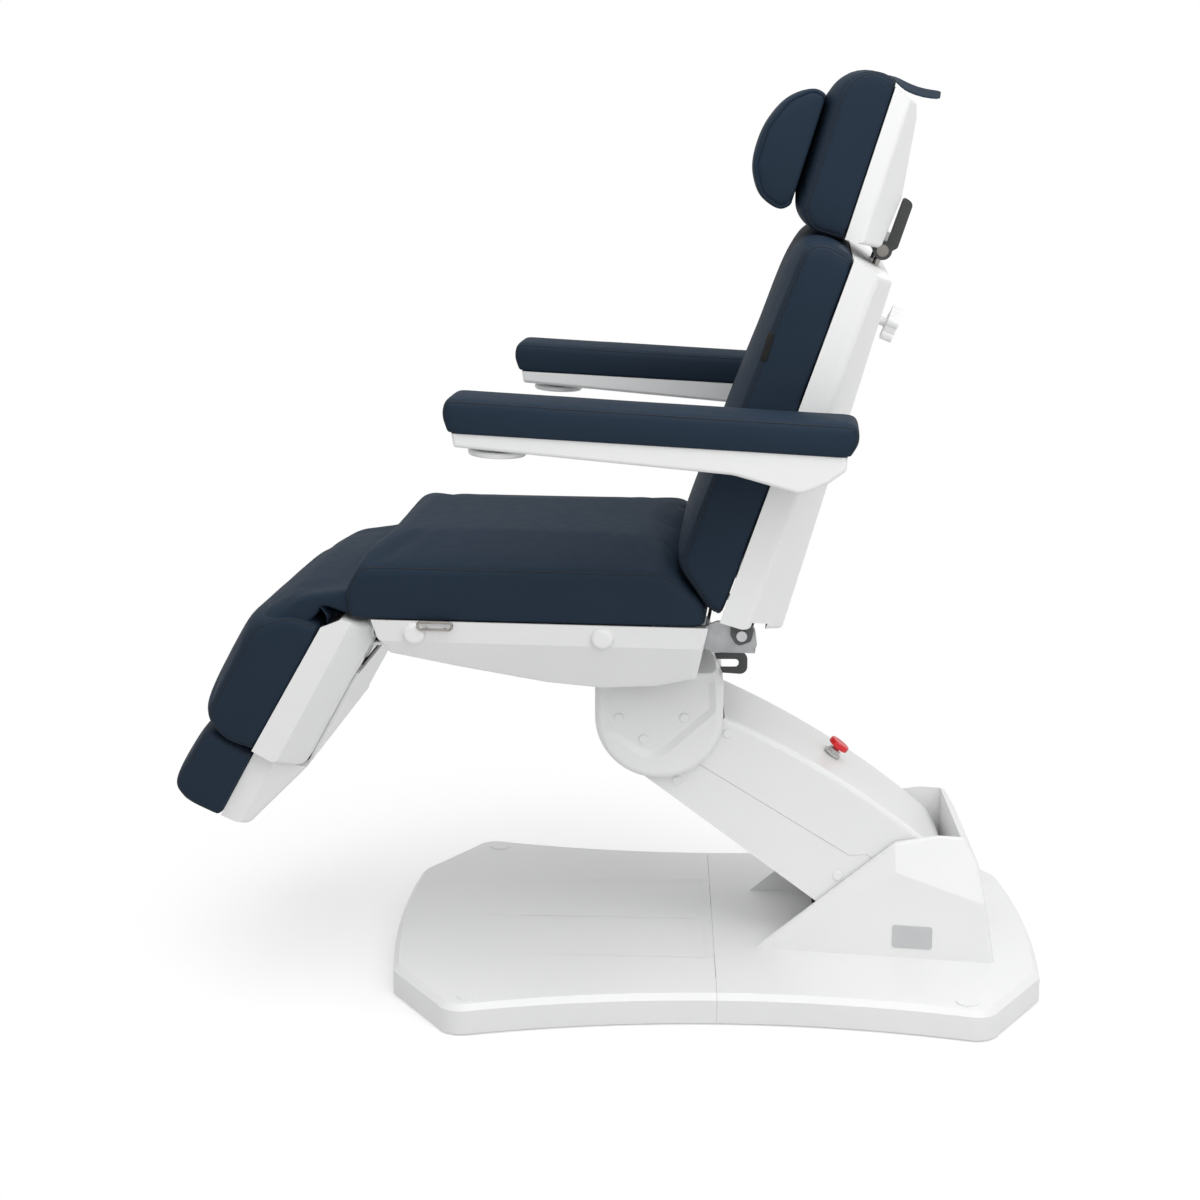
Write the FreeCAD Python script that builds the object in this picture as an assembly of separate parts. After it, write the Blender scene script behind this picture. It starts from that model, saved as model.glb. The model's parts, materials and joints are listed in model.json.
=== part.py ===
"""Electric procedure chair: base, lift arm, yoke, seat, backrest, headrest, armrests and legrest.

Millimetres, +Z up, +X towards the head end. The pieces are drawn from the floor under the middle of the
base, and the finished chair is then moved so that the origin lies on the floor under the middle of its
outer box.
The upper pieces are drawn in frames of their own and then placed:
  seat frame  origin on the swivel axis at the underside of the seat cushion
  back frame  origin on the back hinge, Z up along the backrest, X to its rear
  head frame  origin on the headrest's tilt axis, leaning as the headrest does
  leg frame   origin on the leg hinge, drawn level with the leg towards -X
  rest frame  origin on an armrest's hub, drawn level
"""
import FreeCAD, Part
import math
import os

os.makedirs("parts", exist_ok=True)
V = FreeCAD.Vector
AXIS_X = V(1, 0, 0)
AXIS_Y = V(0, 1, 0)
AXIS_Z = V(0, 0, 1)

# General fits
cover_wall = 4.0
panel_gap = 0.6
soft_gap = 0.4
pad_edge = 22.0
running_fit = 0.05
plate_gap = 2.0
far = 2000.0

# Base
base_length = 1060.0
base_end_bow = 14.0
base_end_width = 430.0
base_corner_from_end = 98.0
base_corner_from_side = 22.0
base_lobe_from_end = 146.0
base_width = 720.0
base_waist_width = 624.0
base_lobe_round = 18.0
base_top = 50.0
base_floor_gap = 3.0
base_edge_drop = 9.0
recess_length = 407.0
recess_width = 344.0
recess_depth = 3.5
recess_slope = 4.0
recess_end = 2.0
recess_back = 4.0
groove_length = 384.0
groove_end = 24.0
groove_width = 5.0
groove_depth = 1.5
foot_from_end = 145.0
foot_from_side = 34.0
foot_pad_radius = 24.0
foot_pad_height = 10.0
foot_stem_radius = 6.0
foot_cap_radius = 18.0
foot_cap_height = 2.4
frame_bar_width = 40.0
frame_bar_height = 26.0
frame_bar_wall = 3.0
frame_bottom = 14.0
frame_rail_y = 150.0
pedestal_plate = 8.0
pedestal_y = 62.0

# Tower on the rear cover
tower_toe_x = 68.0
tower_shoulder_x = 290.0
tower_shoulder_z = 234.0
tower_top_x = 360.0
tower_top_z = 246.0
tower_rear_top_x = 402.0
tower_rear_top_z = 243.0
tower_back_x = 424.0
tower_back_z = 204.0
tower_rear_x = 450.0
tower_toe_width = 256.0
tower_rear_width = 362.0
tower_batter = 12.0
tower_band_drop = 42.0
tower_band_lip = 8.0
tower_wall = 10.0
tower_round = 8.0
slot_clearance = 3.5
heel_clearance = 4.0
inlet_z = 96.0
inlet_width = 48.0
inlet_height = 28.0
switch_width = 22.0
switch_height = 14.0
unit_setback = 60.0
unit_length = 170.0
unit_half_width = 90.0
unit_foot_front = 120.0
unit_foot_rear = 40.0
unit_foot_half = 129.5

# Lift arm
lift_pivot_x = 300.0
lift_pivot_z = 150.0
arm_length = 492.0
arm_angle = 37.1
arm_width = 236.0
arm_depth_below = 98.0
arm_depth_above = 92.0
arm_depth_at_yoke = 58.0
arm_arch = 14.0
arm_split_base = -3.0
arm_split_yoke = -38.0
arm_cover_wall = 3.5
arm_cover_round = 9.0
arm_cap_radius = 8.0
arm_cap_height = 2.4
beam_y = 74.0
beam_plate = 8.0
beam_half_depth = 30.0
pivot_shaft_radius = 15.0
link_offset_x = -40.0
link_offset_z = -64.0
link_pin_radius = 8.0
link_half_depth = 13.0
link_inner_y = 30.0
link_width = 16.0
lift_actuator_anchor_x = 0.0
lift_actuator_anchor_z = -85.0
lift_actuator_reach = 330.0
estop_along = 200.0
estop_head_radius = 17.5
estop_head_height = 10.0
estop_stem_radius = 9.0
estop_travel = 4.0
estop_collar_radius = 15.0
estop_collar_height = 12.0

# Actuators, all of one size
actuator_radius = 13.0
actuator_length = 150.0
rod_radius = 6.0
rod_eye_radius = 15.0
rod_eye_bore = 10.0
rod_eye_width = 10.0
rod_pin_radius = 4.0
rod_start_share = 0.63

# Yoke
yoke_radius = 102.0
yoke_side_y = 122.0
yoke_half_width = 148.0
yoke_top = 115.0
yoke_shoulder = 55.0
yoke_bend_x = 84.0
yoke_bend_z = 99.0
yoke_flat_x = 58.0
yoke_deck_half = 48.0
yoke_plate_y = 90.0
yoke_plate = 8.0
yoke_cap_radius = 8.0
yoke_cap_height = 3.0
yoke_panel_depth = 6.0
yoke_panel_slope = 10.0
yoke_round = 14.0
yoke_eave_drop = 40.0
yoke_eave_run = 44.0
hub_radius = 38.0
hub_bottom = 60.0
spigot_radius = 20.0
lever_plate = 6.0
lever_reach = 142.0
lever_height = 37.0
lever_slot = 14.0
lever_side_y = 66.0
lever_root_reach = 14.0
lever_pin_radius = 4.0
lever_drop = 45.0

# Seat
seat_swivel_at_rest = -4.4
seat_rise = 185.0
seat_half_width = 288.0
seat_front = -454.0
flap_reach = 106.0
flap_bend = 60.0
flap_inset = 20.0
seat_rear = 96.0
seat_thickness = 82.0
seat_crown = 14.0
tray_half_width = 287.0
tray_bottom_half_width = 235.0
tray_front = -418.0
tray_rear = 94.0
tray_band = 34.0
tray_depth = 112.0
tray_band_lean = 6.0
tray_nose_back = 24.0
tray_nose_lip = 10.0
tray_nose_depth = 56.0
tray_slope_x = -288.0
tray_slope_depth = 79.0
tray_belly_front_x = -156.0
tray_belly_front_depth = 104.0
tray_belly_x = -70.0
tray_belly_rear_x = 12.0
tray_belly_rear_depth = 106.0
tray_heel_back = 19.0
tray_heel_depth = 89.0
tray_band_tuck = 7.0
tray_well_radius = 195.0
tray_well_top = -60.0
tray_cap_radius = 17.0
tray_cap_height = 8.0
tray_cap_front_x = -352.0
tray_cap_rear_x = -65.0
loop_wire_radius = 2.0
loop_front_x = -347.0
loop_length = 57.0
loop_height = 15.0
seat_rail_y = 225.0
seat_rail_width = 30.0
seat_rail_height = 22.0
swivel_disc_radius = 64.0
swivel_disc = 10.0
tilt_axis_x = 46.0
tilt_axis_z = -38.0
tilt_pin_radius = 6.0
tilt_lug_y = 96.0
tilt_lug_plate = 8.0
tilt_lever = 34.0
actuator_side_y = 200.0
leg_actuator_y = -165.0
leg_actuator_reach = 356.0

# Back
back_hinge_x = 144.0
back_hinge_z = -13.0
back_lean = 22.0
back_half_width = 285.0
back_height = 576.0
back_cushion_front = -134.0
back_crown = 24.0
back_shell_front = -40.0
back_shell_slope = 29.0
back_shell_rear = 55.0
back_shell_rear_top = -3.0
back_facet_half_width = 214.0
back_rail_y = 230.0
back_rail_width = 20.0
back_rail_depth = 20.0
hinge_pin_radius = 8.0
hinge_bracket_y = 262.0
hinge_plate = 6.0
bracket_tie_front = 60.0
bracket_tie_rear = 10.0
back_lever = 60.0
back_lever_angle = -34.0
torque_tube_radius = 12.0

# Headrest
rod_x = -28.0
headrest_rod_radius = 5.5
headrest_rod_y = 60.0
headrest_rod_length = 230.0
headrest_travel = 100.0
guide_wall = 4.0
shell_round = 8.0
guide_length = 170.0
knob_below_top = 89.0
knob_radius = 29.0
knob_depth = 18.0
knob_stem_radius = 7.0
head_axis_rise = 16.0
head_lean = -5.0
head_half_width = 165.0
head_height = 238.0
head_front = -130.0
head_back = -61.0
head_crown = 22.0
head_shell_depth = 62.0
head_facet_half_width = 110.0
head_axis_radius = 9.0
lever_arm = 84.0
lever_width = 30.0
pillow_half_width = 150.0
pillow_height = 176.0
pillow_thickness = 66.0

# Armrests
rest_hub_x = -25.0
rest_hub_z = 298.0
rest_inner_y = 298.0
rest_width = 114.0
rest_front = -516.0
rest_rear = 72.0
rest_rise = 2.6
rest_pad_bottom = 11.0
rest_pad_top = 50.0
rest_pad_crown = 5.0
rest_tray_front_depth = 20.0
rest_tray_rear_depth = 35.0
rest_boss_radius = 46.0
rest_boss_x = -3.0
rest_round = 6.0
hub_disc_radius = 42.0
hub_spigot_radius = 16.0
hub_pin_radius = 8.0
hub_pin_length = 34.0
rest_knob_x = -442.0
rest_knob_radius = 42.0
rest_knob_height = 8.0
rest_knob_stem = 6.0

# Legrest and foot extension
leg_hinge_x = -483.0
leg_hinge_z = -27.0
leg_drop = 61.0
leg_half_width = 285.0
leg_length = 234.0
leg_pad_bottom = 22.0
leg_pad_top = 108.0
leg_crown = 16.0
leg_tray_depth = 57.0
leg_tray_band = 42.0
leg_tray_round = 16.0
leg_tray_bottom_half_width = 235.0
leg_rail_y = 140.0
leg_rail_width = 30.0
leg_rail_height = 24.0
leg_knee_top = 18.0
leg_lug_y = 210.0
leg_lever = 42.0
leg_lever_angle = -125.5
foot_length = 128.0
foot_gap = 3.0
foot_tray_band = 34.0
foot_toe_depth = 44.0
foot_toe_round = 16.0
foot_slide_y = 180.0
foot_slide_lap = 22.0
foot_slide_back = -60.0
slide_plate = 4.0

# Places that several pieces share
arm_u = V(-math.cos(math.radians(arm_angle)), 0, math.sin(math.radians(arm_angle)))
arm_v = V(math.sin(math.radians(arm_angle)), 0, math.cos(math.radians(arm_angle)))
lift_pivot = V(lift_pivot_x, 0, lift_pivot_z)
yoke_pivot = lift_pivot + arm_u * arm_length
link_offset = V(link_offset_x, 0, link_offset_z)
seat_plane = V(yoke_pivot.x, 0, yoke_pivot.z + seat_rise)
base_inner_top = base_top - cover_wall
frame_top = frame_bottom + frame_bar_height
half_arm = arm_width / 2
foot_x = base_length / 2 - foot_from_end
foot_y = base_width / 2 - foot_from_side
base_corner_x = base_length / 2 - base_corner_from_end
base_corner_y = base_width / 2 - base_corner_from_side
base_lobe_x = base_length / 2 - base_lobe_from_end
head_axis_z = back_height + head_axis_rise
knob_z = back_height - knob_below_top


def placed(origin, turn):
    """A frame at origin, turned about Y."""
    return FreeCAD.Placement(origin, FreeCAD.Rotation(AXIS_Y, turn))


GROUND = FreeCAD.Placement()
SEAT = FreeCAD.Placement(seat_plane, FreeCAD.Rotation(AXIS_Z, seat_swivel_at_rest))
BACK = SEAT.multiply(placed(V(back_hinge_x, 0, back_hinge_z), back_lean))
HEAD = BACK.multiply(placed(V(rod_x, 0, head_axis_z), head_lean))
LEG = SEAT.multiply(placed(V(leg_hinge_x, 0, leg_hinge_z), -leg_drop))
REST = BACK.multiply(placed(V(rest_hub_x, 0, rest_hub_z), rest_rise - back_lean))


def corner_arc(before, corner, after, radius):
    """The tangent points and the arc's middle for one rounded corner."""
    to_before = (before - corner).normalize()
    to_after = (after - corner).normalize()
    half = to_before.getAngle(to_after) / 2
    reach = radius / math.tan(half)
    middle = (to_before + to_after).normalize() * (radius / math.sin(half) - radius)
    return corner + to_before * reach, corner + middle, corner + to_after * reach


def outline(points, y=0.0):
    """A closed wire in a plane of constant y through (x, z) or (x, z, corner radius) points."""
    corners = [V(p[0], y, p[1]) for p in points]
    radii = [p[2] if len(p) > 2 else 0.0 for p in points]
    starts = []
    edges = []
    for i, corner in enumerate(corners):
        after = corners[(i + 1) % len(corners)]
        if radii[i] > 0:
            first, middle, last = corner_arc(corners[i - 1], corner, after, radii[i])
            starts.append((first, last, Part.Arc(first, middle, last).toShape()))
        else:
            starts.append((corner, corner, None))
    for i, (first, last, arc) in enumerate(starts):
        if arc:
            edges.append(arc)
        following = starts[(i + 1) % len(starts)][0]
        if (following - last).Length > 1e-6:
            edges.append(Part.LineSegment(last, following).toShape())
    return Part.Wire(edges)


def prism_y(points, y0, y1):
    """An (x, z) outline drawn out from y0 to y1."""
    return Part.Face(outline(points, y0)).extrude(V(0, y1 - y0, 0))


def prism_x(points, x0, x1):
    """A (y, z) outline drawn out from x0 to x1."""
    corners = [V(x0, y, z) for y, z in points]
    return Part.Face(Part.makePolygon(corners + corners[:1])).extrude(V(x1 - x0, 0, 0))


def box(x0, x1, y0, y1, z0, z1):
    return Part.makeBox(x1 - x0, y1 - y0, z1 - z0, V(x0, y0, z0))


def rod(start, end, radius):
    return Part.makeCylinder(radius, (end - start).Length, start, end - start)


def rod_y(x, z, radius, y0, y1):
    return Part.makeCylinder(radius, y1 - y0, V(x, y0, z), AXIS_Y)


def both_sides(shape):
    """A piece and its mirror image across y = 0."""
    return [shape, shape.mirror(V(0, 0, 0), AXIS_Y)]


def fused(shapes):
    return shapes[0].multiFuse(shapes[1:]).removeSplitter()


def inset_points(points, inset):
    """A convex outline drawn in by the same distance on every side."""
    count = len(points)
    area = sum(points[i - 1][0] * points[i][1] - points[i][0] * points[i - 1][1] for i in range(count))
    side = 1 if area > 0 else -1
    lines = []
    for i in range(count):
        x0, z0 = points[i][:2]
        x1, z1 = points[(i + 1) % count][:2]
        length = math.hypot(x1 - x0, z1 - z0)
        nx, nz = -side * (z1 - z0) / length, side * (x1 - x0) / length
        lines.append((nx, nz, nx * x0 + nz * z0 + inset))
    result = []
    for i in range(count):
        ax, az, ac = lines[i - 1]
        bx, bz, bc = lines[i]
        det = ax * bz - az * bx
        x, z = (ac * bz - az * bc) / det, (ax * bc - ac * bx) / det
        result.append((x, z) + tuple(points[i][2:]))
    return result


def pad(points, half_width, crown, crowned, side_inset):
    """A cushion: its side outline lofted across the width, crowned in the middle and drawn in at the sides.

    crown is the (x, z) rise at the middle of the width of the corners in crowned, each with its share.
    """
    stations = []
    for depth in (0.0, 0.12, 0.4, 1.0):
        drawn = 1 - math.sqrt(1 - (1 - depth) ** 2)
        stations.append((half_width - depth * pad_edge, drawn))
    stations += [((half_width - pad_edge) * share, 0.0) for share in (0.8, 0.6, 0.4, 0.2)]
    stations = [(-y, drawn) for y, drawn in stations] + [(0.0, 0.0)] + stations[::-1]
    wires = []
    for y, drawn in stations:
        rise = 1 - (y / half_width) ** 2
        raised = []
        for i, p in enumerate(points):
            lift = rise * crowned.get(i, 0.0)
            raised.append((p[0] + crown[0] * lift, p[1] + crown[1] * lift, p[2]))
        wires.append(outline(inset_points(raised, side_inset * drawn), y))
    return Part.makeLoft(wires, True, True)


def beyond(point, normal):
    """A block that holds everything on the outer side of a plane."""
    block = Part.makeBox(2 * far, 2 * far, far, V(-far, -far, 0))
    block.Placement = FreeCAD.Placement(point, FreeCAD.Rotation(AXIS_Z, normal))
    return block


def domed_disc(x, z, radius, y0, height):
    """A disc that stands on a side wall at y0, its rim rounded over."""
    disc = rod_y(x, z, radius, y0, y0 + height)
    rim = [edge for edge in disc.Edges if edge.Closed and edge.CenterOfMass.y > y0 + height / 2]
    return disc.makeFillet(height * 0.9, rim)


def softened(shape, radius, wanted):
    """Rounds the straight and curved edges whose middle point is wanted."""
    edges = []
    for edge in shape.Edges:
        middle = edge.valueAt((edge.FirstParameter + edge.LastParameter) / 2)
        if wanted(middle):
            edges.append(edge)
    return shape.makeFillet(radius, edges)


saved = []


def save(node, shapes, frame):
    """Keeps one node's solids, placed as the chair stands, to be written at the end."""
    shapes = shapes if isinstance(shapes, list) else [shapes]
    solids = []
    for shape in shapes:
        for solid in shape.Solids:
            moved = solid.copy()
            moved.Placement = frame.multiply(moved.Placement)
            solids.append(moved)
    whole = solids[0] if len(solids) == 1 else Part.makeCompound(solids)
    saved.append((node, whole))


# Base plate covers and frame
def base_plan(inset, z):
    """The base's plan outline, drawn in by inset, at height z."""
    half = base_length / 2 - inset
    end_x, end_y = half - base_end_bow, base_end_width / 2 - inset * 0.5
    corner = (base_corner_x - inset * 0.8, base_corner_y - inset * 0.6)
    lobe = (base_lobe_x - inset * 0.3, base_width / 2 - inset)
    turn = ((corner[0] + lobe[0]) / 2 + base_lobe_round * 0.35,
            (corner[1] + lobe[1]) / 2 + base_lobe_round * 0.45)
    waist = base_waist_width / 2 - inset

    def at(point, sx, sy):
        return V(point[0] * sx, point[1] * sy, z)

    edges = [Part.Arc(at((end_x, end_y), -1, 1), V(-half, 0, z), at((end_x, end_y), -1, -1)),
             Part.LineSegment(at((end_x, end_y), -1, -1), at(corner, -1, -1)),
             Part.Arc(at(corner, -1, -1), at(turn, -1, -1), at(lobe, -1, -1)),
             Part.Arc(at(lobe, -1, -1), V(0, -waist, z), at(lobe, 1, -1)),
             Part.Arc(at(lobe, 1, -1), at(turn, 1, -1), at(corner, 1, -1)),
             Part.LineSegment(at(corner, 1, -1), at((end_x, end_y), 1, -1)),
             Part.Arc(at((end_x, end_y), 1, -1), V(half, 0, z), at((end_x, end_y), 1, 1)),
             Part.LineSegment(at((end_x, end_y), 1, 1), at(corner, 1, 1)),
             Part.Arc(at(corner, 1, 1), at(turn, 1, 1), at(lobe, 1, 1)),
             Part.Arc(at(lobe, 1, 1), V(0, waist, z), at(lobe, -1, 1)),
             Part.Arc(at(lobe, -1, 1), at(turn, -1, 1), at(corner, -1, 1)),
             Part.LineSegment(at(corner, -1, 1), at((end_x, end_y), -1, 1))]
    return Part.Wire([edge.toShape() for edge in edges])


def base_form(inset, bottom, top):
    """The base plate's outer form: upright sides and a softened top edge."""
    edge_z = top - base_edge_drop
    sides = Part.Face(base_plan(inset, bottom)).extrude(V(0, 0, edge_z - bottom))
    rim = Part.makeLoft([base_plan(inset, edge_z), base_plan(inset + base_edge_drop, top)], True, True)
    return sides.fuse(rim)


foot_places = [V(sx * foot_x, sy * foot_y, 0) for sx in (-1, 1) for sy in (-1, 1)]
plug_radius = foot_cap_radius - 3.0
plate_shell = base_form(0, base_floor_gap, base_top)
plate_shell = plate_shell.cut(base_form(cover_wall, base_floor_gap - cover_wall, base_inner_top))
for place in foot_places:
    plate_shell = plate_shell.cut(Part.makeCylinder(plug_radius + panel_gap / 2, base_top, place))
recess_floor = base_top - recess_depth
groove_floor = recess_floor - groove_depth


def recess_form():
    """The shallow bay in the front cover: its floor sinks towards the lift arm and its walls slope."""
    above = 1.0
    half = recess_width / 2 - recess_slope * recess_depth
    front, rear = -recess_length, -recess_end - recess_slope * recess_depth
    front_run, rear_run = recess_slope * above, recess_slope * (above + recess_depth)
    low = []
    high = []
    for x, side, z, run in ((front, -1, base_top, -front_run), (rear, -1, recess_floor, rear_run),
                            (rear, 1, recess_floor, rear_run), (front, 1, base_top, -front_run)):
        low.append(V(x, side * half, z))
        high.append(V(x + run, side * (half + abs(run)), base_top + above))
    return Part.makeLoft([Part.makePolygon(ring + ring[:1]) for ring in (low, high)], True, True)


groove_start = -groove_end - groove_length
groove_belly = -groove_end - groove_length / 2
groove_half = groove_width / 2
groove_ring = [V(groove_start, 0, groove_floor), V(groove_belly, -groove_half, groove_floor),
               V(-groove_end, -groove_half * 0.6, groove_floor),
               V(-groove_end, groove_half * 0.6, groove_floor),
               V(groove_belly, groove_half, groove_floor)]
groove_face = Part.Face(Part.makePolygon(groove_ring + groove_ring[:1]))
groove = groove_face.extrude(V(0, 0, base_top + 1 - groove_floor))
recess_backing = box(-recess_length - cover_wall, -panel_gap / 2, -recess_width / 2 - cover_wall,
                     recess_width / 2 + cover_wall, base_inner_top - recess_back, base_inner_top + 1)
front_half = box(-far, -panel_gap / 2, -far, far, -far, far)
rear_half = box(panel_gap / 2, far, -far, far, -far, far)
front_cover = plate_shell.common(front_half).fuse(recess_backing).cut(recess_form()).cut(groove)
save("base_cover_front", front_cover, GROUND)


tower_foot_z = base_top - 1
slot_half = half_arm + slot_clearance
slot_rear = lift_pivot_x + arm_depth_above + heel_clearance
slot = box(0, slot_rear, -slot_half, slot_half, base_top, far)


def tower_half(x, z):
    """The tower's half width at a place along it, leaning in towards the top."""
    run = (tower_rear_width - tower_toe_width) / 2 / (tower_rear_x - tower_toe_x)
    lean = tower_batter * (z - tower_foot_z) / (tower_top_z - tower_foot_z)
    return tower_toe_width / 2 + run * (x - tower_toe_x) - lean


def tower_form(inset):
    """The tower's outer form, drawn in by inset: leaning flanks with a sloping band along their tops."""
    side = [(tower_toe_x + inset * 3, tower_foot_z), (tower_shoulder_x + inset, tower_shoulder_z - inset),
            (tower_top_x, tower_top_z - inset), (tower_rear_top_x - inset, tower_rear_top_z - inset),
            (tower_back_x - inset, tower_back_z - inset), (tower_rear_x - inset, tower_foot_z)]
    wires = []
    for z in (tower_foot_z, tower_top_z):
        toe, rear = tower_half(tower_toe_x, z) - inset, tower_half(tower_rear_x, z) - inset
        ring = [V(tower_toe_x, -toe, z), V(tower_rear_x, -rear, z), V(tower_rear_x, rear, z),
                V(tower_toe_x, toe, z)]
        wires.append(Part.makePolygon(ring + ring[:1]))
    form = Part.makeLoft(wires, True, True).common(prism_y(side, -far, far))
    crest = V(tower_shoulder_x, slot_half + tower_band_lip, tower_shoulder_z)
    low_z = tower_shoulder_z - tower_band_drop
    fall = V(tower_shoulder_x, tower_half(tower_shoulder_x, low_z), low_z) - crest
    toe_edge = V(tower_toe_x, slot_half + tower_band_lip / 2, tower_foot_z) - crest
    for along in (toe_edge, V(-1, 0, 0)):
        normal = fall.cross(along).normalize()
        for trimming in both_sides(beyond(crest - normal * inset, normal)):
            form = form.cut(trimming)
    return form


well = box(lift_pivot_x - 125, slot_rear, -slot_half, slot_half, 0, base_top + 1)
pocket = tower_form(tower_wall)
pocket_sides = [pocket.common(box(-far, far, slot_half + cover_wall, far, -far, far)),
                pocket.common(box(-far, far, -far, -slot_half - cover_wall, -far, far)),
                pocket.common(box(slot_rear + cover_wall, far, -far, far, -far, far))]
rear_plate = plate_shell.common(rear_half)
tower = softened(tower_form(0), tower_round, lambda p: p.z > base_top + 5).cut(slot)
for hollow in pocket_sides:
    tower = tower.cut(hollow)
inlet_x = tower_rear_x - (tower_rear_x - tower_back_x) * (inlet_z - base_top) / (tower_back_z - base_top)
inlet_hole = box(inlet_x - 40, far, -inlet_width / 2, inlet_width / 2, inlet_z - inlet_height / 2,
                 inlet_z + inlet_height / 2)
rear_cover = rear_plate.fuse(tower).cut(well).cut(inlet_hole)
for hollow in pocket_sides:
    rear_cover = rear_cover.cut(hollow.common(box(-far, far, -far, far, 0, base_top + 2)))
save("base_cover_rear", rear_cover.removeSplitter(), GROUND)

caps = []
for place in foot_places:
    flange = Part.makeCylinder(foot_cap_radius, foot_cap_height, place + V(0, 0, base_top))
    plug = Part.makeCylinder(plug_radius, cover_wall, place + V(0, 0, base_top - cover_wall))
    caps.append(flange.fuse(plug))
save("foot_caps", caps, GROUND)

feet = []
for place in foot_places:
    foot_pad = Part.makeCylinder(foot_pad_radius, foot_pad_height, place)
    stem = Part.makeCylinder(foot_stem_radius, frame_top - 4, place)
    feet.append(foot_pad.fuse(stem))
save("levelling_feet", feet, GROUND)

half_bar = frame_bar_width / 2
bars = []
for sign in (-1, 1):
    bars.append(box(-foot_x - half_bar, foot_x + half_bar, sign * frame_rail_y - half_bar,
                    sign * frame_rail_y + half_bar, frame_bottom, frame_top))
    bars.append(box(sign * foot_x - half_bar, sign * foot_x + half_bar, -foot_y - half_bar,
                    foot_y + half_bar,
                    frame_bottom, frame_top))
bar_skin = fused(bars)
hollows = []
for sign in (-1, 1):
    hollows.append(box(-foot_x + half_bar, foot_x - half_bar,
                       sign * frame_rail_y - half_bar + frame_bar_wall,
                       sign * frame_rail_y + half_bar - frame_bar_wall, frame_bottom + frame_bar_wall,
                       frame_top - frame_bar_wall))
for hollow in hollows:
    bar_skin = bar_skin.cut(hollow)
for place in foot_places:
    bar_skin = bar_skin.cut(Part.makeCylinder(foot_stem_radius + running_fit, frame_top - 4, place))
link_base = lift_pivot + link_offset
anchor = lift_pivot + V(lift_actuator_anchor_x, 0, lift_actuator_anchor_z)
pedestal_top = base_inner_top
pedestal_outline = [(link_base.x - 30, frame_top), (anchor.x + 46, frame_top),
                    (anchor.x + 40, anchor.z + 20),
                    (lift_pivot_x + 34, lift_pivot_z + 8, 16), (lift_pivot_x, lift_pivot_z + 34, 16),
                    (lift_pivot_x - 34, lift_pivot_z + 8, 16), (link_base.x - 22, link_base.z)]
bores = [(lift_pivot, pivot_shaft_radius), (link_base, link_pin_radius), (anchor, rod_pin_radius)]
pedestal_parts = [box(link_base.x - 40, anchor.x + 60, -frame_rail_y - half_bar, frame_rail_y + half_bar,
                      frame_top, pedestal_top)]
pedestal_parts += both_sides(prism_y(pedestal_outline, pedestal_y, pedestal_y + pedestal_plate))
base_frame = fused([bar_skin] + pedestal_parts)
for centre, radius in bores:
    base_frame = base_frame.cut(rod_y(centre.x, centre.z, radius, -far, far))
save("base_frame", base_frame, GROUND)

pins = [rod_y(lift_pivot_x, lift_pivot_z, pivot_shaft_radius, -half_arm + 14, half_arm - 14),
        rod_y(anchor.x, anchor.z, rod_pin_radius, -pedestal_y - pedestal_plate,
              pedestal_y + pedestal_plate)]
pins += both_sides(rod_y(link_base.x, link_base.z, link_pin_radius, link_inner_y - 2,
                         pedestal_y + pedestal_plate))
save("base_pivot_pins", pins, GROUND)

inlet_face = inlet_x + 4
inlet = box(inlet_x - 30, inlet_face, -inlet_width / 2 + panel_gap, inlet_width / 2 - panel_gap,
            inlet_z - inlet_height / 2 + panel_gap, inlet_z + inlet_height / 2 - panel_gap)
switch_y = inlet_width / 4
socket = box(inlet_face - 14, far, -inlet_width / 2 + 5, -1, inlet_z - 9, inlet_z + 9)
switch_bay = box(inlet_face - 12, far, switch_y - switch_height / 2 - 1, switch_y + switch_height / 2 + 1,
                 inlet_z - switch_width / 2 - 1, inlet_z + switch_width / 2 + 1)
switch_pivot = V(inlet_face - 3, switch_y, inlet_z)
trunnion_radius = 2.0
trunnion = rod_y(switch_pivot.x, switch_pivot.z, trunnion_radius, switch_y - switch_height / 2 - 3,
                 switch_y + switch_height / 2 + 3)
trunnion_bore = rod_y(switch_pivot.x, switch_pivot.z, trunnion_radius + running_fit,
                      switch_y - switch_height / 2 - 3.3, switch_y + switch_height / 2 + 3.3)
contacts = [box(inlet_face - 16, inlet_face - 4, y - 1.5, y + 1.5, inlet_z - 2, inlet_z + 2)
            for y in (-inlet_width / 2 + 8, -inlet_width / 4 - 0.5, -4)]
inlet = fused([inlet.cut(socket).cut(switch_bay).cut(trunnion_bore)] + contacts)
save("mains_inlet", inlet, GROUND)
rocker_outline = [(switch_pivot.x - 4, switch_pivot.z - 6),
                  (switch_pivot.x + 5, switch_pivot.z - switch_width / 2),
                  (switch_pivot.x + 2, switch_pivot.z),
                  (switch_pivot.x + 5, switch_pivot.z + switch_width / 2),
                  (switch_pivot.x - 4, switch_pivot.z + 6)]
rocker = prism_y(rocker_outline, switch_y - switch_height / 2, switch_y + switch_height / 2)
save("mains_switch", rocker.fuse(trunnion), GROUND)

unit_rear = link_base.x - unit_setback
unit_top = base_inner_top - recess_depth - 2
control_unit = box(unit_rear - unit_length, unit_rear, -unit_half_width, unit_half_width, frame_bottom,
                   unit_top)
unit_foot = box(unit_rear - unit_foot_front, unit_rear - unit_foot_rear, -unit_foot_half, unit_foot_half,
                frame_bottom, frame_top)
save("control_unit", control_unit.fuse(unit_foot), GROUND)


# Lift arm and its parallel link
def on_arm(s, n):
    """The (x, z) place s along the arm from the lift pivot and n above its centre line."""
    p = lift_pivot + arm_u * s + arm_v * n
    return p.x, p.z


def arm_face(edges):
    return Part.Face(Part.Wire(edges))


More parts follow.
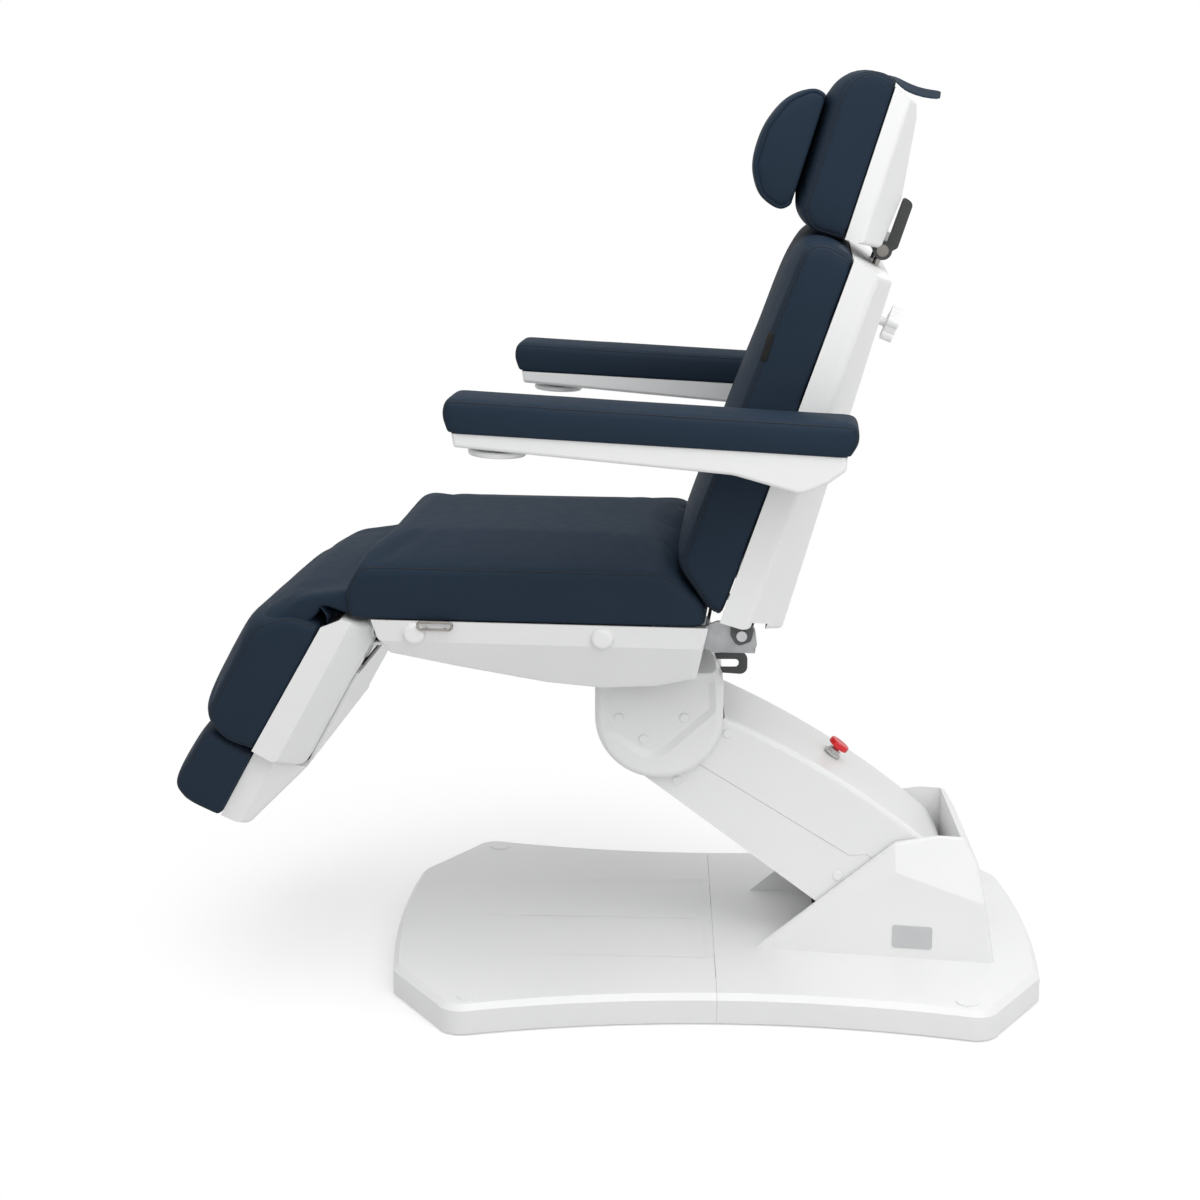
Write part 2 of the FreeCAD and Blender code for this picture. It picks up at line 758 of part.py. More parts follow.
def arm_line(a, b, y):
    (x0, z0), (x1, z1) = on_arm(*a), on_arm(*b)
    return Part.LineSegment(V(x0, y, z0), V(x1, y, z1)).toShape()


def arm_arc(a, b, c, y):
    (x0, z0), (x1, z1), (x2, z2) = on_arm(*a), on_arm(*b), on_arm(*c)
    return Part.Arc(V(x0, y, z0), V(x1, y, z1), V(x2, y, z2)).toShape()


open_end = arm_length - yoke_radius + 14
cover_nose = arm_length - 20
split_step = [(100, arm_split_base), (80, arm_split_base + 18), (10, arm_split_base + 22)]


def split_at(s):
    """The height of the seam between the two covers along its straight stretch."""
    share = (s - split_step[0][0]) / (arm_length - split_step[0][0])
    return arm_split_base + (arm_split_yoke - arm_split_base) * share


def arm_upper_form(inset, drop, half):
    """The upper cover's form: an arched top, a rounded heel and the stepped seam below."""
    top_heel = arm_depth_above - inset
    top_mid = (arm_depth_above + arm_depth_at_yoke) / 2 + arm_arch - inset
    top_yoke = arm_depth_at_yoke - inset
    seam = [(s, n - drop) for s, n in split_step]
    heel = -top_heel
    nose = (open_end, split_at(open_end) - drop)
    y = -half
    edges = [arm_line((open_end, top_yoke), nose, y), arm_line(nose, seam[0], y),
             arm_line(seam[0], seam[1], y),
             arm_line(seam[1], seam[2], y), arm_line(seam[2], (heel * 0.97, top_heel * 0.243), y),
             arm_arc((heel * 0.97, top_heel * 0.243), (heel * 0.7071, top_heel * 0.7071), (0, top_heel), y),
             arm_arc((0, top_heel), (open_end / 2, top_mid), (open_end, top_yoke), y)]
    return arm_face(edges).extrude(V(0, 2 * half, 0))


def arm_lower_form(inset, rise, half):
    """The lower cover's form: a straight bottom, rounded at the yoke end, the stepped seam on top."""
    low = -arm_depth_below + inset
    seam = [(s, n + rise) for s, n in split_step]
    nose_top = (cover_nose, split_at(cover_nose) + rise)
    y = -half
    nose_low = (arm_length - 40, low)
    edges = [arm_line((14 + inset, low), nose_low, y), arm_arc(nose_low, (arm_length - 6, low * 0.78),
                                                               nose_top, y),
             arm_line(nose_top, seam[0], y), arm_line(seam[0], seam[1], y), arm_line(seam[1], seam[2], y),
             arm_line(seam[2], (14 + inset, low), y)]
    return arm_face(edges).extrude(V(0, 2 * half, 0))


inner_half = half_arm - arm_cover_wall
upper_cover = softened(arm_upper_form(0, -panel_gap / 2, half_arm), arm_cover_round,
                       lambda p: abs(p.y) > half_arm - 0.1
                       and (p - lift_pivot).dot(arm_v) > arm_depth_at_yoke)
upper_cover = upper_cover.cut(arm_upper_form(arm_cover_wall, 40, inner_half))
estop_place = lift_pivot + arm_u * estop_along
estop_top_n = (arm_depth_above + arm_depth_at_yoke) / 2 + arm_arch
estop_seat = estop_place + arm_v * estop_top_n
estop_hole = rod(estop_place, estop_place + arm_v * (arm_depth_above + 30), estop_stem_radius + 2)
upper_cover = upper_cover.cut(estop_hole)
lower_cover = arm_lower_form(0, -panel_gap / 2, half_arm)
bottom_end = open_end + 12
lower_inner = arm_lower_form(arm_cover_wall, 40, inner_half)
open_bottom = prism_y([on_arm(bottom_end, -arm_depth_below - 5),
                       on_arm(arm_length + 60, -arm_depth_below - 5),
                       on_arm(arm_length + 60, arm_depth_above), on_arm(bottom_end, arm_depth_above)],
                      -inner_half, inner_half)
open_heel = prism_y([on_arm(-20, -arm_depth_below - 5), on_arm(70, -arm_depth_below - 5), on_arm(70, 60),
                     on_arm(-20, 60)], -inner_half, inner_half)
lower_cover = lower_cover.cut(lower_inner).cut(open_bottom).cut(open_heel)
save("arm_cover_upper", upper_cover, GROUND)
save("arm_cover_lower", lower_cover, GROUND)

cap_places = [(27, arm_depth_above - 16), (94, -42), (arm_length - 92, -72), (arm_length - 108, 40)]
cap_solids = []
for s, n in cap_places:
    x, z = on_arm(s, n)
    cap_solids += both_sides(domed_disc(x, z, arm_cap_radius, half_arm, arm_cap_height))
save("arm_cover_caps", cap_solids, GROUND)

collar = rod(estop_seat - arm_v * 6, estop_seat + arm_v * estop_collar_height, estop_stem_radius + 1.4)
collar_flange = rod(estop_seat + arm_v * 2.4, estop_seat + arm_v * 6, estop_collar_radius)
collar_bore = rod(estop_seat - arm_v * 8, estop_seat + arm_v * (estop_collar_height + 1),
                  estop_stem_radius - 3 + running_fit)
save("estop_collar", collar.fuse(collar_flange).cut(collar_bore), GROUND)
head_seat = estop_seat + arm_v * (estop_collar_height + estop_travel + 1)
estop_head = rod(head_seat, head_seat + arm_v * estop_head_height, estop_head_radius)
estop_head = estop_head.makeFillet(2.5, estop_head.Edges[:3:2])
estop_stem = rod(estop_seat - arm_v * 3, head_seat, estop_stem_radius - 3)
save("estop_button", estop_head.fuse(estop_stem), GROUND)

beam_outline = [on_arm(0, beam_half_depth), on_arm(0, -beam_half_depth),
                on_arm(arm_length, -beam_half_depth),
                on_arm(arm_length, beam_half_depth)]
beam_parts = []
for plate in both_sides(prism_y(beam_outline, beam_y, beam_y + beam_plate)):
    beam_parts.append(plate)
for centre in (lift_pivot, yoke_pivot):
    beam_parts += both_sides(rod_y(centre.x, centre.z, beam_half_depth, beam_y, beam_y + beam_plate))
tie_radius = 10.0
for s in (120, arm_length - 110):
    x, z = on_arm(s, beam_half_depth - tie_radius)
    beam_parts.append(rod_y(x, z, tie_radius, -beam_y - 1, beam_y + 1))
for s in (95, arm_length - 92):
    x, z = on_arm(s, 0)
    beam_parts += both_sides(rod_y(x, z, 6, beam_y + beam_plate - 1, inner_half - 0.3))
reach_x, reach_z = on_arm(lift_actuator_reach, -10)
actuator_head = V(reach_x, 0, reach_z)
beam_parts.append(rod_y(reach_x, reach_z, rod_pin_radius + 4, -beam_y - 1, beam_y + 1))
lift_beam = fused(beam_parts)
for centre in (lift_pivot, yoke_pivot):
    lift_beam = lift_beam.cut(rod_y(centre.x, centre.z, pivot_shaft_radius + running_fit, -far, far))
save("lift_arm_beam", lift_beam, GROUND)

lift_axis = (anchor - actuator_head).normalize()


def actuator(head, axis, head_pin):
    """An actuator's housing from its head pin along its axis, with a bore for the rod."""
    start = head + axis * (head_pin + 2)
    tube = rod(start, start + axis * actuator_length, actuator_radius)
    bore = rod(start + axis * 20, start + axis * (actuator_length + 1), rod_radius + running_fit)
    strap = rod(head + axis * (head_pin + 0.3), start + axis, actuator_radius * 0.6)
    return tube.fuse(strap).cut(bore)


def actuator_rod(head, axis, head_pin, pin_place, eye_axis):
    """The rod from inside the housing to an eye, bored wide, round the pin that it drives."""
    inside = head + axis * (head_pin + actuator_length * rod_start_share)
    neck = pin_place - axis * (rod_eye_bore + 1)
    shank = rod(inside, neck, rod_radius)
    eye = Part.makeCylinder(rod_eye_radius, rod_eye_width, pin_place - eye_axis * (rod_eye_width / 2),
                            eye_axis)
    hole = Part.makeCylinder(rod_eye_bore, rod_eye_width + 2,
                             pin_place - eye_axis * (rod_eye_width / 2 + 1), eye_axis)
    return shank.fuse(eye).cut(hole)


lift_head_pin = rod_pin_radius + 4
head_eye = rod_y(reach_x, reach_z, lift_head_pin + 5, -rod_eye_width, rod_eye_width)
lift_housing = actuator(actuator_head, lift_axis, lift_head_pin).fuse(head_eye)
lift_housing = lift_housing.cut(rod_y(reach_x, reach_z, lift_head_pin + running_fit, -far, far))
save("lift_actuator", lift_housing, GROUND)
save("lift_actuator_rod", actuator_rod(actuator_head, lift_axis, lift_head_pin, anchor, AXIS_Y), GROUND)

link_yoke = yoke_pivot + link_offset
link_side = arm_v * link_half_depth
link_points = [link_base + link_side, link_base - link_side, link_yoke - link_side, link_yoke + link_side]
link_outer_y = link_inner_y + link_width
link_parts = [prism_y([(p.x, p.z) for p in link_points], link_inner_y, link_outer_y)]
for centre in (link_base, link_yoke):
    link_parts.append(rod_y(centre.x, centre.z, link_half_depth + 3, link_inner_y, link_outer_y))
link = fused(link_parts)
for centre in (link_base, link_yoke):
    link = link.cut(rod_y(centre.x, centre.z, link_pin_radius + running_fit, -far, far))
save("parallel_link", both_sides(link), GROUND)


# Yoke
def by_yoke(points):
    return [(yoke_pivot.x + p[0], yoke_pivot.z + p[1]) + tuple(p[2:]) for p in points]


def yoke_form(inset, y0, y1):
    """The yoke cover's side form: round below the pivot and shouldered above it."""
    r = yoke_radius - inset
    top = yoke_top - inset
    left, right = V(-r, 0, 0) + yoke_pivot, V(r, 0, 0) + yoke_pivot
    low = V(0, 0, -r) + yoke_pivot
    lift = V(0, y0, 0)
    bend_x, bend_z = yoke_bend_x - inset * 0.75, yoke_bend_z - inset * 0.7
    flat_x = yoke_flat_x - inset * 0.4
    shoulder = [V(r, 0, yoke_shoulder), V(bend_x, 0, bend_z), V(flat_x, 0, top), V(-flat_x, 0, top),
                V(-bend_x, 0, bend_z), V(-r, 0, yoke_shoulder)]
    shoulder = [p + yoke_pivot for p in shoulder]
    edges = [Part.Arc(left + lift, low + lift, right + lift).toShape()]
    chain = [right] + shoulder + [left]
    for a, b in zip(chain, chain[1:]):
        edges.append(Part.LineSegment(a + lift, b + lift).toShape())
    return Part.Face(Part.Wire(edges)).extrude(V(0, y1 - y0, 0))


def yoke_roof(inset):
    """The yoke's section across: upright flanks that slope in to clear the swivelling back."""
    flank = yoke_half_width - inset
    ridge = flank - yoke_eave_run
    top = yoke_pivot.z + yoke_top
    eave = top - yoke_eave_drop - inset / 2
    return prism_x([(-flank, 0), (flank, 0), (flank, eave), (ridge, top), (-ridge, top), (-flank, eave)],
                   -far, far)


side_inner = yoke_side_y
shell = softened(yoke_form(0, 0, yoke_half_width), yoke_round, lambda p: p.y > yoke_half_width - 0.1)
shell = shell.common(yoke_roof(0))
shell = shell.cut(yoke_form(cover_wall, -1, side_inner).common(yoke_roof(cover_wall)))
cheek = yoke_form(cover_wall + 8, side_inner - 1, yoke_half_width - cover_wall)
shell = shell.cut(cheek.common(yoke_roof(cover_wall)))
arm_way = [box(yoke_pivot.x - 30, far, -1, side_inner, -far, yoke_pivot.z + 52),
           box(-far, far, -1, side_inner, -far, yoke_pivot.z - 44)]
for way in arm_way:
    shell = shell.cut(way)
panel_points = [(-yoke_radius + 22, 36, 14), (-yoke_radius + 26, -20, 30), (-8, -64, 40),
                (yoke_radius - 22, 16, 14), (yoke_radius - 24, 62, 10), (-yoke_radius + 26, 62, 10)]
panel_floor = yoke_half_width - yoke_panel_depth
panel_mouth = inset_points(panel_points, -2 * yoke_panel_slope)
panel = Part.makeLoft([outline(by_yoke(panel_points), panel_floor),
                       outline(by_yoke(panel_mouth), panel_floor + 2 * yoke_panel_depth)], True, True)
panel_back = prism_y(by_yoke(inset_points(panel_points, -yoke_panel_slope)), panel_floor - cover_wall,
                     yoke_half_width - cover_wall + 0.5)
shell = shell.fuse(panel_back).cut(panel)
hub_hole = Part.makeCylinder(hub_radius + 3, far, yoke_pivot)
lever_slot_hole = box(yoke_pivot.x + 40, far, lever_side_y - lever_plate, lever_side_y + lever_plate,
                      yoke_pivot.z + 30, yoke_pivot.z + yoke_top - 12)
seam_cut = box(-far, far, -1, panel_gap / 2, -far, far)
right_shell = shell.cut(hub_hole).cut(seam_cut)
left_shell = right_shell.mirror(V(0, 0, 0), AXIS_Y).cut(lever_slot_hole.mirror(V(0, 0, 0), AXIS_Y))
save("yoke_cover_right", right_shell, GROUND)
save("yoke_cover_left", left_shell, GROUND)

yoke_cap_places = [(-64, -1), (-24, -36), (40, 0)]
yoke_caps = []
for x, z in yoke_cap_places:
    yoke_caps += both_sides(domed_disc(yoke_pivot.x + x, yoke_pivot.z + z, yoke_cap_radius, panel_floor,
                                       yoke_cap_height))
save("yoke_cover_caps", yoke_caps, GROUND)

deck_top = yoke_top - cover_wall - 3
deck = 12.0
plate_outline = by_yoke([(-yoke_deck_half, deck_top), (-58, 20), (-60, link_offset_z),
                         (link_offset_x, link_offset_z - 18, 8),
                         (-16, link_offset_z + 4), (24, -26, 8), (34, 4, 8), (34, 60), (yoke_deck_half,
                                                                                        deck_top)])
yoke_parts = both_sides(prism_y(plate_outline, yoke_plate_y, yoke_plate_y + yoke_plate))
yoke_parts.append(box(yoke_pivot.x - yoke_deck_half, yoke_pivot.x + yoke_deck_half,
                      -yoke_plate_y - yoke_plate, yoke_plate_y + yoke_plate,
                      yoke_pivot.z + deck_top - deck, yoke_pivot.z + deck_top))
hub_top = yoke_top + 6
yoke_parts.append(Part.makeCylinder(hub_radius, hub_top - hub_bottom, yoke_pivot + V(0, 0, hub_bottom)))
cover_post = 5.0
for x in (-45, 30):
    yoke_parts += both_sides(rod_y(yoke_pivot.x + x, yoke_pivot.z + 40, cover_post,
                                   yoke_plate_y + yoke_plate - 1,
                                   panel_floor - cover_wall))
lever_z = yoke_pivot.z + yoke_top - lever_drop
lever_tip = yoke_pivot.x + lever_reach
lever_root = yoke_pivot.x + lever_root_reach
lever_pin_x = lever_root + lever_pin_radius * 2
yoke_frame = fused(yoke_parts)
yoke_frame = yoke_frame.cut(rod_y(lever_pin_x, lever_z, lever_pin_radius + running_fit, -far,
                                  -lever_side_y))
yoke_frame = yoke_frame.cut(Part.makeCylinder(spigot_radius + running_fit, far,
                                              yoke_pivot + V(0, 0, hub_bottom - 20)))
yoke_frame = yoke_frame.cut(rod_y(yoke_pivot.x, yoke_pivot.z, pivot_shaft_radius, -far, far))
yoke_frame = yoke_frame.cut(rod_y(link_yoke.x, link_yoke.z, link_pin_radius, -far, far))
save("yoke_frame", yoke_frame, GROUND)
yoke_pin_end = yoke_plate_y + yoke_plate
save("yoke_pivot_pins", [rod_y(yoke_pivot.x, yoke_pivot.z, pivot_shaft_radius, -yoke_pin_end, yoke_pin_end),
                         rod_y(link_yoke.x, link_yoke.z, link_pin_radius, -yoke_pin_end,
                               yoke_pin_end)], GROUND)

lever_half = lever_height / 2
lever_plate_outline = [(lever_root, lever_z - 10, 6), (lever_tip, lever_z - lever_half, 12),
                       (lever_tip, lever_z + lever_half, 12), (lever_root, lever_z + 12, 6)]
lever = prism_y(lever_plate_outline, -lever_side_y - lever_plate / 2, -lever_side_y + lever_plate / 2)
slot_end = lever_tip - lever_slot
lever_slot_outline = [(slot_end - 52, lever_z - lever_slot / 2, 4), (slot_end, lever_z - lever_slot / 2, 6),
                      (slot_end, lever_z + lever_slot / 2, 6), (slot_end - 52, lever_z + lever_slot / 2, 4)]
lever = lever.cut(prism_y(lever_slot_outline, -far, far))
lever_pin = rod_y(lever_pin_x, lever_z, lever_pin_radius, -yoke_plate_y - yoke_plate,
                  -lever_side_y + lever_plate / 2)
save("swivel_lock_lever", lever.fuse(lever_pin), GROUND)

# Swivel plate and seat
disc_bottom = yoke_top + 6.3 - seat_rise
disc_top = disc_bottom + swivel_disc
spigot_bottom = hub_bottom - seat_rise + 4
tilt_lug_radius = 12.0
lug_outline = [(tilt_axis_x - 30, disc_bottom), (tilt_axis_x + tilt_lug_radius, disc_bottom),
               (tilt_axis_x + tilt_lug_radius, tilt_axis_z + tilt_lug_radius, 8),
               (tilt_axis_x - tilt_lug_radius, tilt_axis_z + tilt_lug_radius, 8), (tilt_axis_x - 30,
                                                                                   disc_top)]
tilt_lever_z = tilt_axis_z - tilt_lever
carrier_parts = [Part.makeCylinder(swivel_disc_radius, swivel_disc, V(0, 0, disc_bottom)),
                 Part.makeCylinder(spigot_radius, disc_bottom - spigot_bottom + 1, V(0, 0, spigot_bottom)),
                 box(tilt_axis_x - 30, tilt_axis_x + tilt_lug_radius, -actuator_side_y + 6,
                     tilt_lug_y + tilt_lug_plate, disc_bottom, disc_top)]
carrier_parts += both_sides(prism_y(lug_outline, tilt_lug_y, tilt_lug_y + tilt_lug_plate))
lever_lug = [(tilt_axis_x - 11, disc_top), (tilt_axis_x - 11, tilt_lever_z - 9, 6),
             (tilt_axis_x + 11, tilt_lever_z - 9, 6), (tilt_axis_x + 11, disc_top)]
carrier_parts.append(prism_y(lever_lug, -actuator_side_y + 6, -actuator_side_y + 12))
carrier_parts.append(rod_y(tilt_axis_x, tilt_lever_z, rod_pin_radius, -actuator_side_y - 7,
                           -actuator_side_y + 8))
swivel_plate = fused(carrier_parts)
swivel_plate = swivel_plate.cut(rod_y(tilt_axis_x, tilt_axis_z, tilt_pin_radius + running_fit, -far, far))
save("swivel_plate", swivel_plate, SEAT)

rail_top = -1.0
rail_bottom = rail_top - seat_rail_height
rail_front = tray_front + 22
rail_rear = tray_rear - 16
rail_outer = seat_rail_y + seat_rail_width
seat_parts = []
for sign in (-1, 1):
    y0, y1 = sorted((sign * seat_rail_y, sign * rail_outer))
    seat_parts.append(box(rail_front, rail_rear, y0, y1, rail_bottom, rail_top))
cross_rear = rail_rear - seat_rail_width
for x in (rail_front, -200.0, cross_rear):
    seat_parts.append(box(x, x + seat_rail_width, -seat_rail_y - 1, seat_rail_y + 1, rail_bottom, rail_top))
seat_lug_y = tilt_lug_y + tilt_lug_plate + plate_gap
tilt_hanger = [(cross_rear, rail_bottom + 1),
               (tilt_axis_x - tilt_lug_radius, tilt_axis_z - tilt_lug_radius, 8),
               (tilt_axis_x + tilt_lug_radius, tilt_axis_z - tilt_lug_radius, 8), (rail_rear,
                                                                                   rail_bottom + 1)]
seat_parts += both_sides(prism_y(tilt_hanger, seat_lug_y, seat_lug_y + tilt_lug_plate))
leg_lug_radius = 15.0
leg_arm = [(rail_front + seat_rail_width, rail_top), (rail_front + seat_rail_width, rail_bottom),
           (leg_hinge_x, leg_hinge_z - leg_lug_radius, 10), (leg_hinge_x - leg_lug_radius, leg_hinge_z, 6),
           (leg_hinge_x, leg_hinge_z + leg_lug_radius, 6), (rail_front - 20, rail_top - 4)]
leg_seat_lug_y = leg_lug_y - plate_gap - 8
seat_parts += both_sides(prism_y(leg_arm, leg_seat_lug_y, leg_lug_y - plate_gap))
seat_frame = fused(seat_parts)
hinge_bore = rod_y(back_hinge_x, back_hinge_z, hinge_pin_radius, -far, far)
leg_bore = rod_y(leg_hinge_x, leg_hinge_z, hinge_pin_radius, -far, far)
seat_frame = seat_frame.cut(rod_y(tilt_axis_x, tilt_axis_z, tilt_pin_radius, -far, far)).cut(leg_bore)
save("seat_frame", seat_frame, SEAT)

flange_bottom = back_hinge_z - 24
bracket_plate = [(rail_rear - 70, rail_bottom), (tray_rear + 2, flange_bottom),
                 (back_hinge_x + 24, flange_bottom, 10),
                 (back_hinge_x + 18, back_hinge_z + 18, 16), (tray_rear + 12, back_hinge_z + 20, 6),
                 (tray_rear - 6, rail_top), (rail_rear - 70, rail_top)]
bracket_flange = box(tray_rear + 2, back_hinge_x + 20, rail_outer - 26, hinge_bracket_y + hinge_plate,
                     flange_bottom - 4, flange_bottom + 1)
bracket_tie = box(rail_rear - bracket_tie_front, rail_rear - bracket_tie_rear, rail_outer,
                  hinge_bracket_y + 1,
                  rail_bottom, rail_top)
brackets = []
for piece in both_sides(fused([prism_y(bracket_plate, hinge_bracket_y, hinge_bracket_y + hinge_plate),
                               bracket_flange, bracket_tie])):
    brackets.append(piece.cut(hinge_bore))
save("back_hinge_brackets", brackets, SEAT)

back_lug_y = hinge_bracket_y + hinge_plate + plate_gap
pin_end = back_lug_y + hinge_plate
leg_pin_end = leg_lug_y + 8
seat_pins = [rod_y(tilt_axis_x, tilt_axis_z, tilt_pin_radius, -seat_lug_y - tilt_lug_plate,
                   seat_lug_y + tilt_lug_plate)]
seat_pins += both_sides(rod_y(back_hinge_x, back_hinge_z, hinge_pin_radius, hinge_bracket_y - 2,
                              pin_end + 2))
seat_pins += both_sides(rod_y(leg_hinge_x, leg_hinge_z, hinge_pin_radius, leg_seat_lug_y, leg_pin_end))
save("seat_hinge_pins", seat_pins, SEAT)


def tray_form(inset):
    """The seat tray's form: a band under the cushion and a boat-shaped belly."""
    side = [(tray_front + inset, 0), (tray_rear - inset, 0),
            (tray_rear - tray_band_tuck - inset, -tray_band),
            (tray_rear - tray_heel_back - inset, inset - tray_heel_depth),
            (tray_belly_rear_x, inset - tray_belly_rear_depth), (tray_belly_x, inset - tray_depth),
            (tray_belly_front_x, inset - tray_belly_front_depth), (tray_slope_x, inset - tray_slope_depth),
            (tray_front + tray_nose_back + inset, inset - tray_nose_depth),
            (tray_front + tray_nose_lip + inset, -tray_band)]
    w, b = tray_half_width - inset, tray_bottom_half_width - inset
    band_w = w - tray_band_lean
    across = [(-w, 0), (-band_w, -tray_band), (-b, -tray_depth - 2), (b, -tray_depth - 2),
              (band_w, -tray_band),
              (w, 0)]
    return prism_y(side, -far, far).common(prism_x(across, -far, far))


leg_rod_z = leg_hinge_z - leg_lever + 3
tray_inside = tray_form(cover_wall).fuse(tray_form(cover_wall).translated(V(0, 0, 1)))
tray = softened(tray_form(0), shell_round, lambda p: p.z < -tray_band - 2).cut(tray_inside)
tray = tray.cut(Part.makeCylinder(tray_well_radius, tray_well_top + far, V(0, 0, -far)))
leg_way = box(tray_front - 5, rail_front - 2, leg_seat_lug_y - 3, leg_lug_y + 1, -tray_band - 8, 1)
bracket_way = box(tray_rear - 40, far, rail_outer - 27, hinge_bracket_y + hinge_plate + 4,
                  flange_bottom - 6, 1)
rod_way_front = box(tray_front - 5, -250, leg_actuator_y - 18, leg_actuator_y + 18, leg_rod_z - 22,
                    leg_rod_z + 22)
rod_way_rear = box(60, far, actuator_side_y - 24, actuator_side_y + 24, -92, -40)
for way in both_sides(leg_way) + both_sides(bracket_way) + [rod_way_front, rod_way_rear]:
    tray = tray.cut(way)
save("seat_tray", tray, SEAT)

tray_caps = []
for x in (tray_cap_front_x, tray_cap_rear_x):
    tray_caps += both_sides(domed_disc(x, -tray_band / 2 - 3, tray_cap_radius, tray_half_width - 3.4,
                                       tray_cap_height))
tray_caps = [cap.cut(tray_form(0)) for cap in tray_caps]
save("seat_tray_caps", tray_caps, SEAT)

loop_y = tray_half_width + 6
loop_x = loop_front_x + loop_length / 2
loop_low = -11.0
loop_bend = loop_height / 2 - loop_wire_radius
loop_left = loop_x - loop_length / 2 + loop_wire_radius + loop_bend
loop_right = loop_x + loop_length / 2 - loop_wire_radius - loop_bend
loop_mid = loop_low + loop_bend
loop_bars = []
for z in (loop_low, loop_low + 2 * loop_bend):
    loop_bars.append(rod(V(loop_left, loop_y, z), V(loop_right, loop_y, z), loop_wire_radius))
for x, turn in ((loop_left, 180), (loop_right, -180)):
    section = Part.Face(Part.Wire(Part.makeCircle(loop_wire_radius, V(x, loop_y, loop_low), AXIS_X)))
    loop_bars.append(section.revolve(V(x, loop_y, loop_mid), AXIS_Y, turn))
for x in (loop_x - loop_length / 4, loop_x + loop_length / 4):
    loop_bars.append(rod(V(x, tray_half_width - 3, loop_low), V(x, loop_y, loop_low),
                         loop_wire_radius * 0.8))
save("wire_loops", both_sides(fused(loop_bars).cut(tray_form(0))), SEAT)

seat_points = [(seat_front + 8, soft_gap, 10), (seat_front, 40, 34), (seat_front + 30, seat_thickness, 26),
               (seat_rear - 66, seat_thickness, 30), (seat_rear + 4, 16, 14), (seat_rear - 10, soft_gap, 6)]
save("seat_cushion", pad(seat_points, seat_half_width, (0, seat_crown), {2: 1.0, 3: 0.8}, 7), SEAT)

leg_pin = V(leg_hinge_x + leg_lever * math.cos(math.radians(leg_lever_angle + leg_drop)), leg_actuator_y,
            leg_hinge_z + leg_lever * math.sin(math.radians(leg_lever_angle + leg_drop)))
back_pin = V(back_hinge_x + back_lever * math.cos(math.radians(back_lever_angle - back_lean)),
             actuator_side_y,
             back_hinge_z + back_lever * math.sin(math.radians(back_lever_angle - back_lean)))
tilt_pin = V(tilt_axis_x, -actuator_side_y, tilt_lever_z)
head_pin = 5.0
leg_head = V(leg_pin.x + leg_actuator_reach, leg_pin.y, leg_rod_z)
leg_end = V(leg_pin.x, leg_pin.y, leg_rod_z)
tilt_head = V(tilt_pin.x - 200, tilt_pin.y, tilt_lever_z)
back_rod_z = back_hinge_z - back_lever * 0.91
back_head = V(back_pin.x - 330, back_pin.y, back_rod_z)
back_end = V(back_pin.x, back_pin.y, back_rod_z)
housings = []
for head, axis in ((leg_head, V(-1, 0, 0)), (tilt_head, AXIS_X), (back_head, AXIS_X)):
    body = actuator(head, axis, head_pin)
    hang_x = head.x + axis.x * 40
    hanger = box(hang_x - 12, hang_x + 12, head.y - 8, head.y + 8, head.z + 8, rail_bottom)
    tie_y = sorted((head.y, math.copysign(seat_rail_y + 2, head.y)))
    tie = box(hang_x - 12, hang_x + 12, tie_y[0], tie_y[1], rail_bottom - 8, rail_bottom)
    housings.append(fused([body, hanger, tie]))
save("seat_actuators", housings, SEAT)
save("tilt_actuator_rod", actuator_rod(tilt_head, AXIS_X, head_pin, tilt_pin, AXIS_Y), SEAT)
save("back_actuator_rod", actuator_rod(back_head, AXIS_X, head_pin, back_end, AXIS_Y), SEAT)
save("leg_actuator_rod", actuator_rod(leg_head, V(-1, 0, 0), head_pin, leg_end, AXIS_Y), SEAT)

flap = [(seat_front - flap_reach, 12, 3), (seat_front - flap_bend, 16), (seat_front + 1.2, 30, 3),
        (seat_front + 3.2, 21, 3), (seat_front - flap_bend + 2, 8), (seat_front - flap_reach + 1, 5, 3)]
save("knee_flap", prism_y(flap, -seat_half_width + flap_inset, seat_half_width - flap_inset), SEAT)


# Backrest
def shell_front_at(z):
    return back_shell_front - back_shell_slope * (z - 27) / (back_height - 36)


def back_rear_at(z):
    return back_shell_rear + (back_shell_rear_top - back_shell_rear) * (z - 21) / (back_height - 34)


def back_shell_form(inset):
    """The back shell's form: flat flanks beside the cushion, facets running in to a flat rear."""
    low, high = 8 + inset, back_height - 4 - inset
    side = [(shell_front_at(low), low), (shell_front_at(high), high),
            (back_rear_at(high) - inset, high - 8),
            (back_rear_at(low) - inset, low + 10)]
    w, f = back_half_width - inset, back_facet_half_width - inset
    wires = []
    for z in (0.0, back_height + 20):
        front, rear = shell_front_at(z) - 40, back_rear_at(z) - inset
        bend = shell_front_at(z) + 42 - inset * 0.4
        ring = [V(front, -w, z), V(bend, -w, z), V(rear, -f, z), V(rear, f, z), V(bend, w, z),
                V(front, w, z)]
        wires.append(Part.makePolygon(ring + ring[:1]))
    return Part.makeLoft(wires, True, True).common(prism_y(side, -far, far))


def back_to_front(shape, gap):
    """Keeps what lies behind the joint between shell and cushion, less a gap."""
    keep = [(shell_front_at(-50) + gap, -50), (shell_front_at(far) + gap, far), (far, far), (far, -50)]
    return shape.common(prism_y(keep, -far, far))


